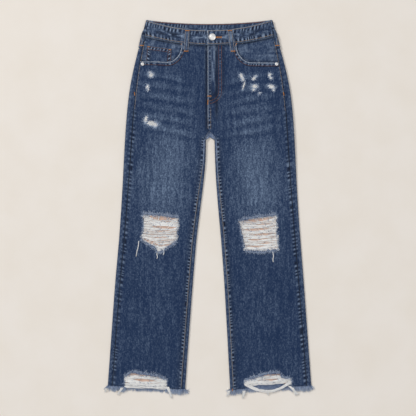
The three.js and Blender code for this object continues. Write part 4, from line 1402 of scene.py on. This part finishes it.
# Where the threads part and the cloth behind shows: centre x, y, half length, half height, slope.
KNEE_GAPS = {
    "right": [
        (-126, -28.5, 36, 5.0, -0.07), (-112, -38, 20, 1.2, 0.0), (-122, -53, 36, 2.6, -0.05),
        (-124, -63, 24, 1.4, 0.02), (-130, -80, 24, 1.5, 0), (-150, -94, 26, 2.6, -0.42),
        (-116, -101, 16, 1.4, 0.15),
    ],
    "left": [
        (134, -33.5, 44, 3.0, 0.12), (146, -45, 26, 1.3, 0.08), (125, -59, 38, 2.3, 0.08),
        (140, -72, 34, 1.6, 0.04), (128, -86, 30, 1.5, 0.05), (150, -95, 26, 1.3, 0.05),
        (124, -104, 28, 1.6, 0.02),
    ],
}
HEM_GAPS = {"right": [(-170, -459.5, 38, 1.0, -0.1)], "left": [(155, -459.5, 36, 0.8, 0.1)]}
# Bundles of threads across a hem rip: height at the low-x and the high-x end, sag, half height, threads.
HEM_BUNDLES = {
    "right": [(-453, -461, -5.0, 6.0, 38), (-465, -469, 4.0, 12.5, 80)],
    "left": [(-463, -453, -6.5, 5.5, 34), (-465, -457, 4.0, 7.0, 44), (-468, -462, 23, 3.4, 26)],
}


def parted(x, y, gaps):
    """Moves threads up or down out of the gaps between them."""
    for cx, cy, half, height, slope in gaps:
        d = y - (cy + slope * (x - cx) + 0.0016 * (x - cx) ** 2)
        push = 1.25 * height * share(1 - ((x - cx) / half) ** 2)
        y = y + np.sign(d) * push * bell(d, 4.5 + height)
    return y


def bare_threads(name, paths, radius, tone, node=()):
    strands(name, paths, radius, tone, WHITE_THREAD, node)


def knee_threads(side):
    """The weft threads left across a knee rip."""
    rng = np.random.default_rng(300 + OUT[side])
    polygon = KNEE_HOLES[side]
    low, high = polygon[:, 1].min(), polygon[:, 1].max()
    y0 = np.concatenate([np.arange(low + 1, high + 1.5, 1.02), rng.uniform(low + 2, high, 26)])
    left, right = span_at(polygon, np.clip(y0, low + 0.5, high - 0.5))
    left = left - 1.5 - 3.5 * (noise(y0, 0, 7, 306) + rng.uniform(-0.2, 0.8, len(y0)))
    right = right + 1.5 + 3.5 * (noise(y0, 0, 7, 307) + rng.uniform(-0.2, 0.8, len(y0)))
    y0, left, right = y0[:, None], left[:, None], right[:, None]
    t = np.linspace(0, 1, 26)
    from_middle = 2 * t - 1
    x = lerp(left, right, t)
    sag = rng.normal(2.6, 0.9, y0.shape) * ((right - left) / 100)
    y = y0 - sag * (1 - from_middle**2) + rng.normal(0, 0.5, y0.shape) * from_middle
    y = y + 0.7 * noise(x, y0 * 3, 14, 301) + 0.35 * noise(x, y0 * 9, 5, 302)
    y = parted(x, y, KNEE_GAPS[side])
    z = rounded_front(LEGS[side], x, y) - 0.9 + 0.5 * noise(x, y0 * 5, 18, 303)
    z = z + 0.3 * rng.normal(0, 1, y0.shape) + 1.2 * from_middle**8
    radius = rng.uniform(0.5, 0.78, len(y0))[:, None]
    radius = radius * (1 - 0.25 * np.abs(from_middle) ** 6) * (1 + 0.2 * noise(x, y0, 6, 304))
    tone = np.clip(0.92 + 0.2 * rng.normal(0, 0.5, y0.shape) + 0.2 * noise(x, y, 4, 305), 0.1, 1)
    bare_threads(f"knee_weft_{side}", xyz(x, y, z), radius, tone, f"knee_threads_{side}")


def hem_threads(side):
    """The weft threads left across a hem rip, in shallow bows."""
    rng = np.random.default_rng(340 + OUT[side])
    polygon = HEM_RIPS[side]
    x0, x1 = polygon[:, 0].min(), polygon[:, 0].max()
    t = np.linspace(0, 1, 30)
    paths = []
    for low_y, high_y, sag, half, count in HEM_BUNDLES[side]:
        height = rng.uniform(-1, 1, (count, 1))
        x = lerp(x0 + rng.uniform(-3, 3, (count, 1)), x1 + rng.uniform(-3, 3, (count, 1)), t)
        spread = half * (1.15 - 0.4 * np.sin(np.pi * t))
        y = lerp(low_y, high_y, t) - sag * np.sin(np.pi * t) ** 0.9 + height * spread
        y = y + 1.3 * noise(x, height * 90, 12, 341) + 0.6 * noise(x, height * 300, 4, 342)
        y = parted(x, y, HEM_GAPS[side])
        y = np.minimum(y, notch_top(side, np.clip(x, x0 + 3, x1 - 3)) + 1.5)
        z = rounded_front(LEGS[side], x, y) - 0.7 + 0.4 * rng.normal(0, 1, (count, 1)) + (2 * t - 1) ** 8
        paths.append(xyz(x, y, z))
    paths = np.concatenate(paths)
    thicker = noise(paths[..., 0], paths[..., 1], 5, 343)
    radius = rng.uniform(0.4, 0.68, (len(paths), 1)) * (1 + 0.3 * thicker)
    tone = np.clip(0.9 + 0.15 * rng.normal(0, 1, (len(paths), 1)), 0.2, 1)
    bare_threads(f"hem_weft_{side}", paths, radius, tone, f"hem_threads_{side}")


def yarn_specks(side):
    """Ends of indigo warp yarn still caught in the bare weft of both rips."""
    rng = np.random.default_rng(390 + OUT[side])
    paths = []
    for polygon, count in ((KNEE_HOLES[side], 150), (HEM_RIPS[side], 90)):
        spots = rng.uniform(polygon.min(0), polygon.max(0), (count * 2, 2))
        spots = spots[rip_distance(spots[:, 0], spots[:, 1], polygon) < -3][:count]
        for x0, y0 in spots:
            turn, length = rng.normal(0, 0.5), rng.uniform(1.2, 3.6)
            t = np.linspace(-0.5, 0.5, 4) * length
            x, y = x0 + t * np.cos(turn), y0 + t * np.sin(turn)
            paths.append(xyz(x, y, rounded_front(LEGS[side], x, y) + 0.25 - 0.8 * (t / length * 2) ** 2))
    tone, radius = rng.uniform(0.0, 0.55, (len(paths), 1)), rng.uniform(0.35, 0.6, (len(paths), 1))
    strands(f"yarn_specks_{side}", np.array(paths), radius, tone, FRINGE_THREAD)


def patch_cloth(name, node):
    low, high = box(node)
    u, v = grid(44, 40)
    x, y = lerp(low.x, high.x, u), lerp(low.y, high.y, v)
    z = high.z - 0.2 + 0.7 * noise(x, y, 30, 310) + 0.25 * noise(x, y, 9, 311)
    obj = cloth(name, xyz(x, y, z), 0.7, {"fade": np.zeros(x.shape)}, PATCH, "patch_cloth", node)


def tufts(name, roots, ways, lengths, radius, tones, seed, curl, points=6, flop=0.0, replaces=()):
    """Short loose threads from roots along their ways, each with its own curl; flop is how far they fall."""
    rng = np.random.default_rng(seed)
    each = (len(roots), 1)
    t = np.linspace(0, 1, points)
    turn = rng.normal(0, curl, each) * t + rng.normal(0, curl * 0.8, each) * t**2
    angle = np.arctan2(ways[:, 1], ways[:, 0])[:, None] + turn
    step = lengths[:, None] / (points - 1)
    x0, y0, z0 = roots.T[:, :, None]
    x = x0 + np.cumsum(np.cos(angle) * step, 1) - np.cos(angle[:, :1]) * step
    y = y0 + np.cumsum(np.sin(angle) * step, 1) - np.sin(angle[:, :1]) * step
    z = z0 + rng.uniform(-0.3, 0.9, each) * np.sin(np.pi * t * 0.9) - flop * t**1.5
    radii = radius[:, None] * (1 - 0.45 * t)
    tone = share(lerp(*tones, t) + 0.5 * (rng.uniform(0, 1, each) - 0.5))
    paths = xyz(x, y, np.maximum(z, 0.35))
    strands(name, paths, radii, tone, FRINGE_THREAD, replaces, sides=3)


def along_outline(polygon, pitch):
    """Evenly spaced points along a closed outline, with the way out of it at each."""
    centre = polygon.mean(0)
    points, ways = [], []
    for a, b in outline_sides(polygon):
        length = np.linalg.norm(b - a)
        count = max(1, int(length / pitch))
        t = (np.arange(count) + 0.5) / count
        way = np.array([(b - a)[1], -(b - a)[0]]) / length
        way = way if way @ ((a + b) / 2 - centre) > 0 else -way
        points.append(lerp(a, b, t[:, None]))
        ways.append(np.repeat(way[None], count, 0))
    return np.concatenate(points), np.concatenate(ways)


FRAY_LOW_Y = -468  # the hem's own fringe takes over below


def rip_fray(side):
    """Blue and white thread ends round the rips, most along their upper and lower edges."""
    out = OUT[side]
    for which, polygon in (("knee", KNEE_HOLES[side]), ("hem", HEM_RIPS[side])):
        rng = np.random.default_rng(320 + out + len(which))
        points, ways = along_outline(polygon, 0.27)
        upright = np.abs(ways[:, 1])
        chosen = rng.uniform(0, 1, len(points)) < 0.2 + 0.8 * upright
        if which == "hem":
            chosen &= points[:, 1] > FRAY_LOW_Y
        points, ways, upright = points[chosen], ways[chosen], upright[chosen]
        clump = noise(points[:, 0], points[:, 1], 5, 325)
        points = points + rng.normal(0, 0.9, points.shape) + ways * rng.uniform(-0.6, 2.6, (len(points), 1))
        z = front_z(side, points[:, 0], points[:, 1]) + rng.uniform(0.1, 1.0, len(points))
        lengths = rng.gamma(6.0, 0.75, len(points)) * (0.6 + 0.6 * upright) * (1 + 0.45 * clump)
        inward = rng.uniform(0, 1, len(points)) < 0.14
        ways = np.where(inward[:, None], -ways, ways)
        radius = rng.uniform(0.3, 0.52, len(points))
        roots = np.column_stack([points, z])
        tufts(f"{which}_fray_{side}", roots, ways, lengths, radius, (0.25, 0.8), 330 + out, 0.7)


def hem_fringe(side):
    """The frayed edge of both layers of a hem."""
    leg = LEGS[side]
    inner, outer = sorted((leg.inner_fold(HEM_INNER_Y), leg.outer_fold(HEM_OUTER_Y)))
    rip_low, rip_high = HEM_RIPS[side][:, 0].min(), HEM_RIPS[side][:, 0].max()
    for layer, tip_tone, flop, nodes in (
        ("back", 0.6, 0.4, [f"hem_fringe_back_{side}"]),
        ("front", 0.85, 2.4, [f"hem_fringe_front_inner_{side}", f"hem_fringe_front_outer_{side}"]),
    ):
        rng = np.random.default_rng(350 + leg.out + len(layer))
        x = np.arange(inner - 1, outer + 1, 0.4)
        x = x + rng.normal(0, 0.4, len(x))
        if layer == "front":
            x = x[(x < rip_low + 2) | (x > rip_high - 2)]
        y = hem_y(leg, x) + rng.uniform(0, 3, len(x))
        z = rounded_front(leg, x, y) + 0.2 if layer == "front" else np.full_like(x, 1.3)
        lengths = 12.8 + 3.0 * noise(x, 0, 6, 351) + rng.normal(0, 1.7, len(x))
        lengths = np.clip(np.where((x > rip_low) & (x < rip_high), lengths * 0.75, lengths), 3, 17)
        flare = -1.1 * smooth(inner + 9, inner, x) + 1.1 * smooth(outer - 9, outer, x)
        ways = np.column_stack([0.3 * noise(x, 0, 9, 352) + flare, -np.ones(len(x))])
        tufts(
            f"hem_fray_{layer}_{side}", np.column_stack([x, y, z]), ways, lengths,
            rng.uniform(0.36, 0.62, len(x)), (0.3, tip_tone), 360 + leg.out, 0.45, 6, flop, nodes,
        )


# Single long threads that hang from the rips.
LONG_THREADS = [
    [(-186, -90), (-187, -104), (-191, -118), (-193, -131)],
    [(-137, -118), (-138, -126), (-136, -131), (-138, -137)],
    [(-121, -110), (-119, -118), (-121, -126)],
    [(168, -117), (171, -128), (169, -138), (170, -145)],
    [(178, -110), (184, -114), (187, -112)],
]
# Longer wisps at the hem: x and y of the root, length and lean.
HEM_TUFTS = [
    (-272, -480, 12, -0.3), (-230, -478, 24, -0.5), (-110, -476, 34, 0.35), (93, -486, 22, -0.15),
    (53, -486, 18, -0.3), (214, -474, 30, 0.75), (220, -478, 26, 0.5), (155, -487, 12, 0.1),
]
WISP_LOW_Y = -509.0


def long_threads():
    rng = np.random.default_rng(370)
    t = np.linspace(0, 1, 9)
    paths = []
    for route in LONG_THREADS:
        route_x, route_y = np.array(route, float).T
        at = np.linspace(0, 1, len(route))
        for _ in range(4):
            x = np.interp(t, at, route_x) + rng.normal(0, 0.5)
            y = np.interp(t, at, route_y) + rng.normal(0, 0.5)
            side = "right" if x.mean() < 0 else "left"
            paths.append(xyz(x, y, front_z(side, x, y) + 0.7))
    for x0, y0, length, lean in HEM_TUFTS:
        for _ in range(10 + length):
            own = length * rng.uniform(0.55, 1.05)
            curl = rng.normal(0, 0.08)
            x = x0 + rng.uniform(-4, 4) * (1 - 0.65 * t) + (lean * t + curl * t**2) * own
            y = np.maximum(y0 - own * t * (1 - 0.3 * abs(lean)), WISP_LOW_Y)
            paths.append(xyz(x, y, np.maximum(7.2 - 5.2 * t**1.2, 0.5)))
    tone = rng.uniform(0.7, 1, (len(paths), 1))
    bare_threads("long_threads", np.array(paths), 0.6 * (1 - 0.35 * t), tone)


SPOT_THREADS = 0.9  # pitch of the bare threads on a worn spot


def spot_threads():
    """Bare weft threads lying across the small worn spots."""
    rng = np.random.default_rng(380)
    t = np.linspace(-1, 1, 8)
    paths = []
    for side, spots in SPOTS.items():
        for cx, cy, half_x, half_y, lean in spots:
            for y0 in np.arange(cy - half_y, cy + half_y, SPOT_THREADS):
                reach = half_x * math.sqrt(max(0.0, 1 - ((y0 - cy) / half_y) ** 2)) * rng.uniform(0.35, 1.05)
                x = cx + lean * (y0 - cy) + rng.normal(0, 0.6) + reach * t
                y = y0 + 0.5 * noise(x, y0 * 7, 5, 381) + rng.normal(0, 0.3) * t
                paths.append(xyz(x, y, front_z(side, x, y) + 0.25 - 0.5 * np.abs(t) ** 4))
    tone, radius = rng.uniform(0.65, 1, (len(paths), 1)), rng.uniform(0.3, 0.5, (len(paths), 1))
    bare_threads("spot_weft", np.array(paths), radius, tone)


def spot_fray():
    """Short thread ends that stand up round the worn spots, most above and below them."""
    rng = np.random.default_rng(395)
    roots, ways = [], []
    for side, spots in SPOTS.items():
        for cx, cy, half_x, half_y, lean in spots:
            for _ in range(int(10 + 3 * half_x)):
                turn = rng.uniform(0, 2 * np.pi)
                y = cy + 0.8 * half_y * np.sin(turn)
                x = cx + lean * (y - cy) + 0.8 * half_x * np.cos(turn)
                roots.append((x, y, float(front_z(side, x, y)) + 0.3))
                ways.append((0.5 * np.cos(turn), np.sin(turn)))
    lengths, radius = rng.gamma(5, 0.75, len(roots)), rng.uniform(0.26, 0.45, len(roots))
    tufts("spot_fray", np.array(roots), np.array(ways), lengths, radius, (0.75, 1.0), 396, 0.6, 5)


for side in OUT:
    front_panel(side)
    back_panel(side)
    back_yoke(side)
    band_front(side)
    pocket_facing(side)
    pocket_hem(side)
    front_loop(side)
    side_loop(side)
    back_pocket(side)
    knee_threads(side)
    hem_threads(side)
    yarn_specks(side)
    patch_cloth(f"knee_patch_{side}", f"knee_backing_{side}")
    patch_cloth(f"hem_patch_{side}", f"hem_backing_{side}")
    rip_fray(side)
    hem_fringe(side)
band_back()
coin_pocket()
back_loop()
button()
rivets()
long_threads()
spot_threads()
spot_fray()
front_stitches()
fly_stitches()
seam_tacks()
coin_stitches()
loop_tacks()
buttonhole()
under_stitches()
build_stitches()
for node, material in (("fly_zip", BRASS), ("fly_shield", DARK_DENIM)):
    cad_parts[node].material_slots[0].material = material


# ------------------------------------------------------------------ stage
FLOOR_REACH, FLOOR_Z = 6, -0.0006  # metres
PICTURE_WIDTH, LENS, SENSOR = 1.1024, 85.0, 36.0  # metres of floor across the picture, and mm


def add_to_scene(name, data, place):
    obj = bpy.data.objects.new(name, data)
    obj.location = place
    bpy.context.scene.collection.objects.link(obj)
    return obj


def make_floor():
    n = Nodes("floor_paper", {"Roughness": 0.95})
    mottle = n.ramp(n.noise(n.place, 9, 3), 0.35, 0.7)
    n.put(n.shader.inputs["Base Color"], n.mix(mottle, srgb(243, 236, 227), srgb(240, 232, 221)))
    mesh = bpy.data.meshes.new("floor")
    corners = [(x * FLOOR_REACH, y * FLOOR_REACH, 0) for x, y in ((-1, -1), (1, -1), (1, 1), (-1, 1))]
    mesh.from_pydata(corners, [], [(0, 1, 2, 3)])
    mesh.materials.append(n.material)
    add_to_scene("floor", mesh, (0, 0, FLOOR_Z))


def area_light(name, place, size, power, colour):
    data = bpy.data.lights.new(name, "AREA")
    data.size, data.energy, data.color = size, power, colour
    light = add_to_scene(name, data, place)
    light.rotation_mode = "QUATERNION"
    light.rotation_quaternion = (-light.location).to_track_quat("-Z", "Y")


def make_studio():
    area_light("key_light", (-4.2, 3.8, 4.8), 1.9, 250, (1.0, 0.985, 0.96))
    area_light("top_fill", (0.9, -0.6, 6.0), 5.0, 130, (1.0, 0.99, 0.98))
    world = bpy.data.worlds.new("studio")
    world.use_nodes = True
    background = world.node_tree.nodes["Background"]
    background.inputs["Color"].default_value = (0.93, 0.95, 1.0, 1)
    background.inputs["Strength"].default_value = 0.33
    bpy.context.scene.world = world
    bpy.context.scene.view_settings.view_transform = "Standard"


def make_camera():
    data = bpy.data.cameras.new("camera")
    data.lens, data.sensor_width = LENS, SENSOR
    height = PICTURE_WIDTH * LENS / SENSOR + 0.006
    bpy.context.scene.camera = add_to_scene("camera", data, (-0.00265, -0.002, height))


make_floor()
make_studio()
make_camera()
